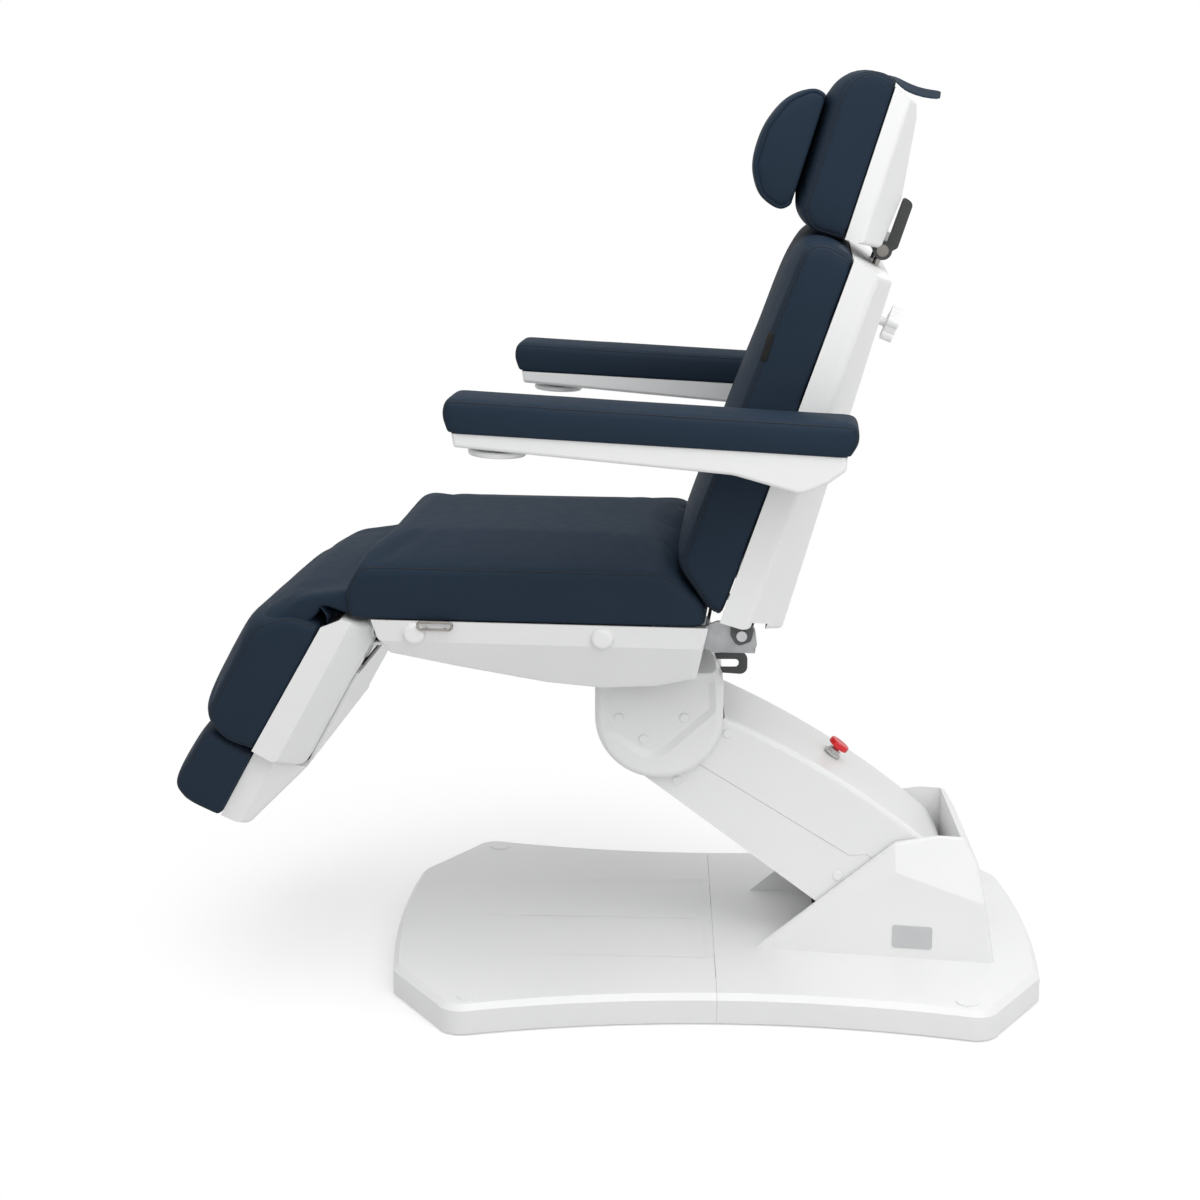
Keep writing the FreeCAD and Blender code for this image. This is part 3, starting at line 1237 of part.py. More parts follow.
guide_radius = headrest_rod_radius + guide_wall
guide_top = back_height - 22
back_shell = softened(back_shell_form(0), shell_round, lambda p: p.x > shell_front_at(p.z) + 30)
back_shell = back_shell.cut(back_to_front(back_shell_form(cover_wall), 0))
back_shell = back_shell.cut(back_shell_form(cover_wall))
hinge_room = box(-70, torque_tube_radius + 18, -back_half_width + 5, back_half_width - 5, -20, 26)
back_shell = back_shell.cut(hinge_room)
for y in (-headrest_rod_y, headrest_rod_y):
    back_shell = back_shell.cut(Part.makeCylinder(headrest_rod_radius + 2.5, far,
                                                  V(rod_x, y, back_height / 2)))
back_shell = back_shell.cut(rod_y(rest_hub_x, rest_hub_z, hub_spigot_radius + 0.6, -far, far))
back_shell = back_shell.cut(Part.makeCylinder(knob_stem_radius + 1.5, far, V(rod_x, 0, knob_z), AXIS_X))
save("back_shell", back_shell, BACK)

back_rail_top = back_height - 60
rail_x0 = rod_x - 8
rail_x1 = rail_x0 + back_rail_depth
back_parts = []
for sign in (-1, 1):
    y0, y1 = sorted((sign * back_rail_y, sign * (back_rail_y + back_rail_width)))
    back_parts.append(box(rail_x0, rail_x1, y0, y1, 26, back_rail_top))
    back_parts.append(prism_y([(rail_x0, 40), (rail_x0, 26), (-14, -4, 4), (0, -14, 8), (14, 0, 8),
                               (8, 40)], y0, y1))
    spacer = sorted((sign * (back_rail_y + back_rail_width - 1), sign * (back_lug_y + 1)))
    back_parts.append(box(rail_x0, rail_x1 + 6, spacer[0], spacer[1], 46, 74))
lug = [(rail_x0, 76), (rail_x0 + 4, 34), (-16, -6, 8), (0, -18, 10), (16, -2, 8), (13, 14), (-3, 30),
       (-3, 76)]
back_parts += both_sides(prism_y(lug, back_lug_y, back_lug_y + hinge_plate))
cross_z = [110.0, guide_top - guide_length, back_rail_top - 24]
for z in cross_z:
    back_parts.append(box(rail_x0, rail_x1, -back_rail_y - 1, back_rail_y + 1, z, z + 24))
back_parts.append(rod_y(0, 0, torque_tube_radius, -back_rail_y - 1, back_rail_y + 1))
for y in (-headrest_rod_y, headrest_rod_y):
    back_parts.append(Part.makeCylinder(guide_radius, guide_length, V(rod_x, y, guide_top - guide_length)))
lever_dir = V(math.cos(math.radians(back_lever_angle)), 0, math.sin(math.radians(back_lever_angle)))
lever_across = V(-lever_dir.z, 0, lever_dir.x)
lever_end = lever_dir * back_lever
lever_points = [lever_across * 12, lever_across * -12, lever_end - lever_across * 8 + lever_dir * 8,
                lever_end + lever_across * 8 + lever_dir * 8]
for y in (actuator_side_y - 14, actuator_side_y + 8):
    back_parts.append(prism_y([(p.x, p.z) for p in lever_points], y, y + 6))
back_parts.append(rod_y(lever_end.x, lever_end.z, rod_pin_radius, actuator_side_y - 10,
                        actuator_side_y + 10))
back_frame = fused(back_parts)
for y in (-headrest_rod_y, headrest_rod_y):
    back_frame = back_frame.cut(Part.makeCylinder(headrest_rod_radius + running_fit, far, V(rod_x, y, 0)))
pin_bore = rod_y(0, 0, hinge_pin_radius + running_fit, back_lug_y - 1, far)
for cut in both_sides(pin_bore):
    back_frame = back_frame.cut(cut)
back_frame = back_frame.cut(Part.makeCylinder(knob_stem_radius + running_fit, far, V(rod_x + 4, 0, knob_z),
                                              AXIS_X))
save("back_frame", back_frame, BACK)

cushion_gap = soft_gap
back_points = [(shell_front_at(20) - cushion_gap, 16, 8), (-62, 16, 10), (back_cushion_front + 6, 60, 20),
               (back_cushion_front - 7, back_height - 2, 22), (-112, back_height + 4, 14),
               (shell_front_at(back_height) - cushion_gap, back_height + 2, 10)]
save("back_cushion", pad(back_points, back_half_width + 1, (-back_crown, 0), {2: 0.7, 3: 1.0}, 7), BACK)

knob_front = back_rear_at(knob_z) + 22
lobe_count = 5
star = Part.makeCylinder(knob_radius - 6, knob_depth, V(knob_front, 0, knob_z), AXIS_X)
for i in range(lobe_count):
    turn = 2 * math.pi * i / lobe_count
    reach = knob_radius - 9
    star = star.fuse(Part.makeCylinder(9, knob_depth, V(knob_front, reach * math.sin(turn),
                                                        knob_z + reach * math.cos(turn)), AXIS_X))
knob_stem = Part.makeCylinder(knob_stem_radius, knob_front + 1 - (rod_x + 6), V(rod_x + 6, 0, knob_z),
                              AXIS_X)
save("headrest_clamp_knob", star.fuse(knob_stem).removeSplitter(), BACK)

# Headrest, its rods drawn in the back frame
rods = [Part.makeCylinder(headrest_rod_radius, headrest_rod_length,
                          V(rod_x, y, head_axis_z - headrest_rod_length))
        for y in (-headrest_rod_y, headrest_rod_y)]
lever_y0 = -headrest_rod_y - 16 - lever_width
rods.append(rod_y(rod_x, head_axis_z, head_axis_radius, lever_y0, headrest_rod_y + 12))
save("headrest_rods", fused(rods), BACK)


def head_shell_form(inset):
    """The headrest shell's form: flanks beside the cushion and facets to a flat rear."""
    low, high = 2 + inset, head_height - 8 - inset
    side = [(head_back, low), (head_back, high), (head_back + 36 - inset, high - 10),
            (head_back + 44 - inset, high - 32),
            (head_back + head_shell_depth - inset, 84), (head_back + head_shell_depth - 6 - inset, low)]
    w, f = head_half_width - inset, head_facet_half_width - inset
    rear = head_back + head_shell_depth
    ring = [V(head_back, -w, -50), V(head_back + 26 - inset * 0.4, -w, -50), V(rear - inset, -f, -50),
            V(rear - inset, f, -50), V(head_back + 26 - inset * 0.4, w, -50), V(head_back, w, -50)]
    plan = Part.Face(Part.makePolygon(ring + ring[:1])).extrude(V(0, 0, head_height + 100))
    return plan.common(prism_y(side, -far, far))


axis_block = head_axis_radius + 5
head_shell = softened(head_shell_form(0), shell_round,
                      lambda p: p.x > head_back + 20).cut(head_shell_form(cover_wall))
blocks = both_sides(box(head_back + 1, axis_block * 0.4, 22, 44, 4, axis_block + 12))
boss = both_sides(rod_y(0, 0, axis_block, 22, 44))
block_room = box(-axis_block - 8, far, -headrest_rod_y - 16, headrest_rod_y + 16, -far, axis_block + 4)
lever_room = box(-axis_block - 2, far, lever_y0 - 2, lever_y0 + lever_width + 2, -far, axis_block + 2)
head_shell = head_shell.cut(block_room).cut(lever_room)
for piece in blocks + boss:
    head_shell = head_shell.fuse(piece)
head_shell = head_shell.cut(rod_y(0, 0, head_axis_radius + running_fit, -far, far))
save("headrest_shell", head_shell.removeSplitter(), HEAD)

head_points = [(head_back - soft_gap, 0, 8), (head_front + 20, 0, 16), (head_front, 22, 22),
               (head_front, head_height - 26, 34), (head_front + 36, head_height + 6, 24),
               (head_back - soft_gap, head_height - 4, 12)]
save("headrest_cushion", pad(head_points, head_half_width, (-head_crown, 0), {2: 1.0, 3: 0.8}, 6), HEAD)

lever_eye = rod_y(0, 0, axis_block, lever_y0, lever_y0 + lever_width)
handle = prism_y([(3, 6), (9, -1, 3), (20, 10, 6), (21, lever_arm - 4, 9), (5, lever_arm, 4)], lever_y0,
                 lever_y0 + lever_width)
tilt_lever_shape = lever_eye.fuse(handle).cut(rod_y(0, 0, head_axis_radius + running_fit, -far, far))
save("headrest_tilt_lever", tilt_lever_shape.removeSplitter(), HEAD)

pillow_back = head_front - head_crown - soft_gap
pillow_low = 22.0
pillow_points = [(pillow_back, pillow_low, 10), (pillow_back - 26, pillow_low - 4, 14),
                 (pillow_back - pillow_thickness, pillow_low + pillow_height * 0.3, 30),
                 (pillow_back - pillow_thickness + 6, pillow_low + pillow_height * 0.72, 40),
                 (pillow_back - 22, pillow_low + pillow_height, 14), (pillow_back,
                                                                      pillow_low + pillow_height - 8, 8)]
save("neck_pillow", pad(pillow_points, pillow_half_width, (-6, 0), {2: 1.0, 3: 1.0}, 14), HEAD)


# Armrests
def rest_half(sign):
    """The armrest on one side: hub, tray, pad and knob."""
    name = "left" if sign < 0 else "right"
    inner = sign * rest_inner_y
    outer = sign * (rest_inner_y + rest_width)
    middle = sign * (rest_inner_y + rest_width / 2)

    def span(a, b):
        return sorted((a, b))

    disc = span(sign * (back_half_width + 1.5), inner - sign * 0.6)
    spigot = span(sign * (back_rail_y + back_rail_width + 0.4), sign * (back_half_width + 2))
    pin = span(inner - sign * 2, inner + sign * hub_pin_length)
    hub = fused([rod_y(0, 0, hub_disc_radius, disc[0], disc[1]),
                 rod_y(0, 0, hub_spigot_radius, spigot[0], spigot[1]),
                 rod_y(0, 0, hub_pin_radius, pin[0], pin[1])])
    save("armrest_hub_" + name, hub, REST)

    under = [(rest_front + 14, rest_pad_bottom),
             (rest_front + 18, rest_pad_bottom - rest_tray_front_depth, 6),
             (-100, rest_pad_bottom - rest_tray_rear_depth, 60), (-46, -36, 20), (rest_boss_x,
                                                                                  -rest_boss_radius, 30),
             (34, -28, 20), (rest_rear - 14, -8, 10), (rest_rear - 14, rest_pad_bottom)]
    side = span(inner + sign * 2, outer - sign * 6)
    hollow_side = span(inner + sign * (2 + cover_wall), outer - sign * (6 + cover_wall))
    shell_outer = softened(prism_y(under, side[0], side[1]), rest_round, lambda p: p.z < rest_pad_bottom - 4
                           and abs(abs(p.y) - abs(middle)) > rest_width / 4)
    inside = [(rest_front + 14 + cover_wall, rest_pad_bottom + 1),
              (rest_front + 22, rest_pad_bottom - rest_tray_front_depth + cover_wall),
              (-100, rest_pad_bottom - rest_tray_rear_depth + cover_wall),
              (-60, -rest_boss_radius * 0.6), (-rest_boss_radius - 2, rest_pad_bottom + 1)]
    rest_tray = shell_outer.cut(prism_y(inside, hollow_side[0], hollow_side[1]))
    bore = span(inner - sign * 3, inner + sign * (hub_pin_length + 0.6))
    rest_tray = rest_tray.cut(rod_y(0, 0, hub_pin_radius + running_fit, bore[0], bore[1]))
    share = (rest_knob_x - rest_front - 18) / (-100 - rest_front - 18)
    floor_z = rest_pad_bottom - rest_tray_front_depth - share * (rest_tray_rear_depth - rest_tray_front_depth)
    stem_base = V(rest_knob_x, middle, floor_z - 2)
    knob_boss = Part.makeCylinder(rest_knob_stem + 5, rest_pad_bottom - 2 - floor_z,
                                  V(rest_knob_x, middle, floor_z + 1))
    rest_tray = rest_tray.fuse(knob_boss)
    rest_tray = rest_tray.cut(Part.makeCylinder(rest_knob_stem + running_fit, far, stem_base - V(0, 0, 20)))
    save("armrest_tray_" + name, rest_tray.removeSplitter(), REST)

    disc_top_z = floor_z - 4.5
    knob = Part.makeCylinder(rest_knob_radius, rest_knob_height,
                             V(rest_knob_x, middle, disc_top_z - rest_knob_height))
    knob = knob.makeChamfer(2.0, [edge for edge in knob.Edges if edge.Closed])
    stem = Part.makeCylinder(rest_knob_stem, rest_pad_bottom - 2 - disc_top_z,
                             V(rest_knob_x, middle, disc_top_z - 1))
    save("armrest_knob_" + name, knob.fuse(stem), REST)

    points = [(rest_front + 12, rest_pad_bottom + soft_gap, 6), (rest_front, 34, 14),
              (rest_front + 10, rest_pad_top + 2, 12), (rest_rear - 4, rest_pad_top, 10),
              (rest_rear, 28, 10), (rest_rear - 14, rest_pad_bottom + soft_gap, 6)]
    rest_pad = pad(points, rest_width / 2, (0, rest_pad_crown), {2: 1.0, 3: 1.0}, 5)
    rest_pad.translate(V(0, middle, 0))
    save("armrest_pad_" + name, rest_pad, REST)


rest_half(1)
rest_half(-1)


# Legrest and foot extension
def leg_tray_form(inset):
    """The leg tray's form: a band under the cushion, chamfered below, rounded at its lower end."""
    end, low = -leg_length + 6 + inset, -leg_tray_depth + inset
    side = [(4 - inset * 0.3, leg_knee_top), (end, leg_pad_bottom), (end, low, leg_tray_round),
            (10 - inset * 0.3, low), (41 - inset, -41 + inset * 0.4), (31 - inset, -4 - inset * 0.6)]
    w, b = leg_half_width - inset, leg_tray_bottom_half_width - inset
    band = leg_pad_bottom - leg_tray_band
    across = [(-w, 40), (-w, band), (-b, -leg_tray_depth - 6), (b, -leg_tray_depth - 6), (w, band), (w, 40)]
    return prism_y(side, -far, far).common(prism_x(across, -far, far))


leg_tray = softened(leg_tray_form(0), shell_round, lambda p: p.z < leg_pad_bottom - leg_tray_band - 2)
leg_tray = leg_tray.cut(leg_tray_form(cover_wall))
leg_tray = leg_tray.cut(leg_tray_form(cover_wall).translated(V(0, 0, 6)))
leg_rail_top = leg_pad_bottom - 6.0
leg_rail_bottom = leg_rail_top - leg_rail_height + 5
slide_room = box(-far, foot_slide_back + 10, -foot_slide_y - 3, foot_slide_y + 3, -far, leg_rail_bottom + 2)
lug_room = box(-30, 60, leg_seat_lug_y - 4, leg_lug_y + 12, -far, 15)
rod_room = box(-78, 60, leg_actuator_y - 22, leg_actuator_y + 22, -far, -4)
for way in both_sides(lug_room) + [rod_room, slide_room]:
    leg_tray = leg_tray.cut(way)
save("leg_tray", leg_tray, LEG)

leg_parts = []
for sign in (-1, 1):
    y0, y1 = sorted((sign * leg_rail_y, sign * (leg_rail_y + leg_rail_width)))
    leg_parts.append(box(-leg_length + 14, -30, y0, y1, leg_rail_bottom, leg_rail_top))
leg_parts.append(box(-52, -32, -leg_half_width + cover_wall, leg_half_width - cover_wall, leg_rail_bottom,
                     leg_rail_top))
leg_lug = [(-50, leg_rail_top - 1), (-50, leg_rail_bottom), (0, -leg_lug_radius, 10),
           (leg_lug_radius, 0, 6),
           (0, leg_lug_radius, 10)]
leg_parts += both_sides(prism_y(leg_lug, leg_lug_y, leg_lug_y + 8))
leg_lever_end = V(leg_lever * math.cos(math.radians(leg_lever_angle)), 0,
                  leg_lever * math.sin(math.radians(leg_lever_angle)))
leg_lever_outline = [(-52, leg_rail_bottom + 1), (leg_lever_end.x - 9, leg_lever_end.z - 8, 6),
                     (leg_lever_end.x + 9, leg_lever_end.z - 8, 6), (-28, leg_rail_bottom + 1)]
for y in (leg_actuator_y - 14, leg_actuator_y + 9):
    leg_parts.append(prism_y(leg_lever_outline, y, y + 5))
leg_parts.append(rod_y(leg_lever_end.x, leg_lever_end.z, rod_pin_radius, leg_actuator_y - 10,
                       leg_actuator_y + 10))
leg_frame = fused(leg_parts)
for cut in both_sides(rod_y(0, 0, hinge_pin_radius + running_fit, leg_lug_y - 1, far)):
    leg_frame = leg_frame.cut(cut)
save("leg_frame", leg_frame, LEG)

leg_points = [(2, leg_knee_top + soft_gap, 8), (0, 64, 40), (-44, leg_pad_top, 44),
              (-leg_length + 10, leg_pad_top, 14),
              (-leg_length - 2, 70, 26), (-leg_length + 4, leg_pad_bottom + soft_gap, 8)]
save("leg_cushion", pad(leg_points, leg_half_width + 1, (0, leg_crown), {2: 1.0, 3: 1.0}, 7), LEG)

foot_top = leg_pad_bottom - 3
foot_head = -leg_length - foot_gap
foot_toe = foot_head - foot_length
slide_top = -leg_tray_depth - panel_gap
slide_low = slide_top - slide_plate


def foot_tray_form(inset):
    """The foot tray's form: flanks beside the cushion, chamfered below, tapering to a rounded toe."""
    head, toe = foot_head + 7 - inset, foot_toe + 8 + inset
    side = [(head, foot_top), (toe, foot_top), (toe + 4, foot_top - foot_toe_depth + inset, foot_toe_round),
            (head, slide_low + inset)]
    w, b = leg_half_width - 20 - inset, leg_tray_bottom_half_width - 6 - inset
    band = foot_top - foot_tray_band
    across = [(-w, foot_top + 1), (-w, band), (-b, slide_low - 1), (b, slide_low - 1), (w, band),
              (w, foot_top + 1)]
    return prism_y(side, -far, far).common(prism_x(across, -far, far))


foot_shell = softened(foot_tray_form(0), shell_round,
                      lambda p: p.z < foot_top - foot_tray_band - 2 and p.x < foot_head)
for lift in (0, 6):
    foot_shell = foot_shell.cut(foot_tray_form(cover_wall).translated(V(0, 0, lift)))
foot_slide = box(foot_head + 6, foot_slide_back, -foot_slide_y - foot_slide_lap,
                 foot_slide_y + foot_slide_lap,
                 slide_low, slide_top)
slide_ribs = both_sides(box(foot_head + 4, foot_slide_back, foot_slide_y - 20, foot_slide_y - 10,
                            slide_low + 3,
                            leg_rail_bottom - running_fit))
foot_tray = fused([foot_shell, foot_slide] + slide_ribs)
save("foot_tray", foot_tray, LEG)

foot_points = [(foot_head, foot_top + soft_gap, 6), (foot_head, leg_pad_top - 6, 14),
               (foot_toe + 14, leg_pad_top, 16), (foot_toe, 76, 26), (foot_toe + 6, foot_top + soft_gap, 8)]
save("foot_cushion", pad(foot_points, leg_half_width - 9, (0, leg_crown - 4), {1: 1.0, 2: 1.0}, 7), LEG)

# The chair is moved so that its origin lies on the floor under the middle of its outer box, and written
extent = FreeCAD.BoundBox()
for node, whole in saved:
    extent.add(whole.optimalBoundingBox(False, False))
to_middle = V(-extent.Center.x, -extent.Center.y, 0)
for node, whole in saved:
    whole.translate(to_middle)
    whole.exportStep("parts/%s.step" % node)
print("middle of the base at %.3f, %.3f" % (to_middle.x, to_middle.y))
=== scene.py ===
# %% [markdown]
# # An electric procedure chair, dressed in Blender
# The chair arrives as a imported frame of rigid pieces: steel, shells and plain cushions, each already in its
# place and tied to the body it moves with. This lesson keeps the steel and the moulded shells, gives them real
# finishes, and rebuilds everything soft: cushions, neck pillow, strap and the slack vinyl at the knee.

# %% Load the frame
import bpy
import bmesh
import json
import math
from mathutils import Euler, Matrix, Vector
from mathutils.bvhtree import BVHTree
from mathutils.kdtree import KDTree


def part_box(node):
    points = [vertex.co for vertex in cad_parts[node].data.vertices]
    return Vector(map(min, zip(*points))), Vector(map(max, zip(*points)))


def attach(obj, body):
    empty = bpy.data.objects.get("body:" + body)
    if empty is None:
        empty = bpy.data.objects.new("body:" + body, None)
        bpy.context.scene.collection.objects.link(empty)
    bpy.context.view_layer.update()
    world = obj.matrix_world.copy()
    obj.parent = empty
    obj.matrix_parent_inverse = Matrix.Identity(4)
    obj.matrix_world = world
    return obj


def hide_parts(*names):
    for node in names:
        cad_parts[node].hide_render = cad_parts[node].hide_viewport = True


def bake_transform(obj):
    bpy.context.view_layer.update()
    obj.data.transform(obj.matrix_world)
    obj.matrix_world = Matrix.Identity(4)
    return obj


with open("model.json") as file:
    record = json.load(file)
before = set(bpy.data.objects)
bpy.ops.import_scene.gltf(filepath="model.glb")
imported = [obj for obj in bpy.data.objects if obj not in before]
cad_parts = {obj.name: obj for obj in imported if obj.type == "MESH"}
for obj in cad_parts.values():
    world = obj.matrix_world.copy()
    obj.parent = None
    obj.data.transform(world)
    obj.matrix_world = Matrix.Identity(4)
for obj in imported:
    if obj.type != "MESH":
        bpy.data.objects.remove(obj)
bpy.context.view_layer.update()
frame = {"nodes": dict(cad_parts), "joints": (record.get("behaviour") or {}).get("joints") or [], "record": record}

node_objects = frame["nodes"]
joints = {joint["name"]: joint for joint in frame["joints"]}

# %% [markdown]
# ## Where things stand
# The model's origin is under the middle of the whole chair, but the photograph is easiest to measure from the
# middle of the base. The base frame's box gives that point, and camera, lamps and floor are placed from it.

# %% Middle of the base
base_low, base_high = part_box("base_frame")
base_middle = Vector(((base_low[0] + base_high[0]) / 2, (base_low[1] + base_high[1]) / 2, 0.0))
print("middle of the base", tuple(round(c, 4) for c in base_middle))

# %% [markdown]
# ## The camera
# The photograph was taken from the chair's left side, a little above armrest height and looking slightly down,
# with a lens long enough to keep the base from spreading. A camera fitted to the corners of the base and the
# armrests gives the place and lens below.

# %% Camera
scene = bpy.context.scene
camera_data = bpy.data.cameras.new("photo_camera")
camera_data.lens = 60.1
camera_data.sensor_width = 36.0
camera = bpy.data.objects.new("photo_camera", camera_data)
camera.location = base_middle + Vector((-0.1016, -3.1888, 1.3800))
camera.rotation_euler = Euler((math.radians(76.32), 0.0, math.radians(1.59)))
scene.collection.objects.link(camera)
scene.camera = camera
scene.view_settings.view_transform = "Standard"

# %% [markdown]
# ## Floor and light
# A product photograph on white has light from everywhere: a bright room, one broad softbox overhead, one beside
# the camera and a weak one behind. The floor is a pale sheet. To the camera it also glows a little, so that it
# reads as white and still keeps the chair's shadow, and away from the chair it fades into the white background.

# %% Floor
floor_reach = 14.0
floor_shade = 0.62
floor_glow = 0.42
floor_mesh = bpy.data.meshes.new("studio_floor")
sheet = bmesh.new()
bmesh.ops.create_grid(sheet, x_segments=8, y_segments=8, size=floor_reach)
sheet.to_mesh(floor_mesh)
sheet.free()
floor = bpy.data.objects.new("studio_floor", floor_mesh)
scene.collection.objects.link(floor)

floor_paint = bpy.data.materials.new("studio_floor")
floor_paint.use_nodes = True
tree = floor_paint.node_tree
tree.nodes.clear()
paint_out = tree.nodes.new("ShaderNodeOutputMaterial")
paper = tree.nodes.new("ShaderNodeBsdfDiffuse")
paper.inputs["Color"].default_value = (floor_shade, floor_shade, floor_shade, 1)
ray = tree.nodes.new("ShaderNodeLightPath")
seen = tree.nodes.new("ShaderNodeMath")
seen.operation = "MAXIMUM"
tree.links.new(ray.outputs["Is Camera Ray"], seen.inputs[0])
tree.links.new(ray.outputs["Is Glossy Ray"], seen.inputs[1])
glow_level = tree.nodes.new("ShaderNodeMath")
glow_level.operation = "MULTIPLY"
glow_level.inputs[1].default_value = floor_glow
tree.links.new(seen.outputs[0], glow_level.inputs[0])
glow = tree.nodes.new("ShaderNodeEmission")
tree.links.new(glow_level.outputs[0], glow.inputs["Strength"])
near_chair = tree.nodes.new("ShaderNodeAddShader")
tree.links.new(paper.outputs[0], near_chair.inputs[0])
tree.links.new(glow.outputs[0], near_chair.inputs[1])

# %% Floor fade
fade_start, fade_end = 0.62, 1.25
floor_place = tree.nodes.new("ShaderNodeTexCoord")
reach = tree.nodes.new("ShaderNodeVectorMath")
reach.operation = "DISTANCE"
reach.inputs[1].default_value = base_middle
tree.links.new(floor_place.outputs["Object"], reach.inputs[0])
fade = tree.nodes.new("ShaderNodeMapRange")
fade.interpolation_type = "SMOOTHSTEP"
fade.inputs["From Min"].default_value = fade_start
fade.inputs["From Max"].default_value = fade_end
tree.links.new(reach.outputs["Value"], fade.inputs["Value"])
faded = tree.nodes.new("ShaderNodeMath")
faded.operation = "MULTIPLY"
tree.links.new(fade.outputs[0], faded.inputs[0])
tree.links.new(seen.outputs[0], faded.inputs[1])
white = tree.nodes.new("ShaderNodeEmission")
floor_look = tree.nodes.new("ShaderNodeMixShader")
tree.links.new(faded.outputs[0], floor_look.inputs[0])
tree.links.new(near_chair.outputs[0], floor_look.inputs[1])
tree.links.new(white.outputs[0], floor_look.inputs[2])
tree.links.new(floor_look.outputs[0], paint_out.inputs["Surface"])
floor_mesh.materials.append(floor_paint)

# %% World and lamps
room_light, background_light = 0.64, 1.0
world = bpy.data.worlds.new("studio")
world.use_nodes = True
scene.world = world
sky = world.node_tree.nodes["Background"]
sky_ray = world.node_tree.nodes.new("ShaderNodeLightPath")
sky_level = world.node_tree.nodes.new("ShaderNodeMapRange")
sky_level.inputs["To Min"].default_value = room_light
sky_level.inputs["To Max"].default_value = background_light
sky.inputs["Color"].default_value = (1.0, 1.0, 1.0, 1)
world.node_tree.links.new(sky_ray.outputs["Is Camera Ray"], sky_level.inputs["Value"])
world.node_tree.links.new(sky_level.outputs[0], sky.inputs["Strength"])


def softbox(name, place, aim, size, watts):
    """A square area lamp at place that faces aim."""
    lamp_data = bpy.data.lights.new(name, "AREA")
    lamp_data.energy = watts
    lamp_data.size = size
    lamp = bpy.data.objects.new(name, lamp_data)
    lamp.location = base_middle + Vector(place)
    lamp.rotation_euler = (Vector(aim) - Vector(place)).to_track_quat("-Z", "Y").to_euler()
    scene.collection.objects.link(lamp)


softbox("overhead", (-0.2, -0.5, 3.4), (0.0, 0.0, 0.5), 3.4, 52)
softbox("beside_camera", (0.9, -2.0, 2.3), (0.2, 0.0, 0.9), 2.4, 28)
softbox("behind", (1.6, 2.6, 2.2), (0.0, 0.0, 0.8), 2.0, 6)

# %% [markdown]
# ## Finishes
# Every finish is a Principled shader with a texture that has the real scale of the stuff, read from Object
# coordinates, which on these pieces are metres. A helper makes the usual chain: a noise or cell pattern for the
# bump, and a slow noise that varies colour and gloss a little, because nothing real is quite even.

# %% Finish helper
class Finish:
    """A material with its Principled shader and shortcuts for adding nodes."""

    darkest, lightest = 0.3, 0.7  # most of a noise lies between these values

    def __init__(self, name):
        self.material = bpy.data.materials.new(name)
        self.material.use_nodes = True
        self.tree = self.material.node_tree
        self.shader = self.tree.nodes["Principled BSDF"]
        self.place = self.node("ShaderNodeTexCoord").outputs["Object"]

    def node(self, kind, **inputs):
        made = self.tree.nodes.new(kind)
        for name, value in inputs.items():
            made.inputs[name.replace("_", " ")].default_value = value
        return made

    def link(self, source, target):
        self.tree.links.new(source, target)

    def noise(self, scale, detail=2.0):
        made = self.node("ShaderNodeTexNoise", Scale=scale, Detail=detail, Roughness=0.5)
        self.link(self.place, made.inputs["Vector"])
        return made.outputs["Fac"]

    def cells(self, scale):
        made = self.node("ShaderNodeTexVoronoi", Scale=scale)
        made.feature = "DISTANCE_TO_EDGE"
        self.link(self.place, made.inputs["Vector"])
        return made.outputs["Distance"]

    def spread(self, value, low, high):
        made = self.node("ShaderNodeMapRange")
        made.inputs["From Min"].default_value = self.darkest
        made.inputs["From Max"].default_value = self.lightest
        made.inputs["To Min"].default_value = low
        made.inputs["To Max"].default_value = high
        self.link(value, made.inputs["Value"])
        return made.outputs[0]

    def between(self, value, dark, light):
        ramp = self.node("ShaderNodeValToRGB")
        ramp.color_ramp.elements[0].position = self.darkest
        ramp.color_ramp.elements[1].position = self.lightest
        ramp.color_ramp.elements[0].color = (*dark, 1)
        ramp.color_ramp.elements[1].color = (*light, 1)
        self.link(value, ramp.inputs["Fac"])
        self.link(ramp.outputs["Color"], self.shader.inputs["Base Color"])

    def gloss(self, value, low, high):
        self.link(self.spread(value, low, high), self.shader.inputs["Roughness"])

    def bump(self, height, strength, distance):
        made = self.node("ShaderNodeBump", Strength=strength, Distance=distance)
        self.link(height, made.inputs["Height"])
        self.link(made.outputs["Normal"], self.shader.inputs["Normal"])


# %% Navy vinyl
vinyl = Finish("navy_vinyl")
vinyl.between(vinyl.noise(7.0, 3.0), (0.0184, 0.0305, 0.0490), (0.0194, 0.0322, 0.0516))
vinyl.gloss(vinyl.noise(60.0, 3.0), 0.55, 0.61)
vinyl.bump(vinyl.cells(950.0), 0.14, 0.0003)
vinyl.shader.inputs["Specular IOR Level"].default_value = 0.06

# %% White moulded plastic
shell_white = Finish("white_satin_plastic")
shell_white.between(shell_white.noise(3.0, 2.0), (0.825, 0.832, 0.830), (0.850, 0.855, 0.850))
shell_white.gloss(shell_white.noise(25.0, 3.0), 0.28, 0.38)
shell_white.bump(shell_white.noise(700.0, 2.0), 0.04, 0.0003)

# %% Light grey plastic
cap_grey = Finish("light_grey_plastic")
cap_grey.between(cap_grey.noise(9.0), (0.50, 0.51, 0.52), (0.57, 0.58, 0.59))
cap_grey.gloss(cap_grey.noise(40.0), 0.38, 0.5)
cap_grey.bump(cap_grey.noise(800.0), 0.05, 0.0003)

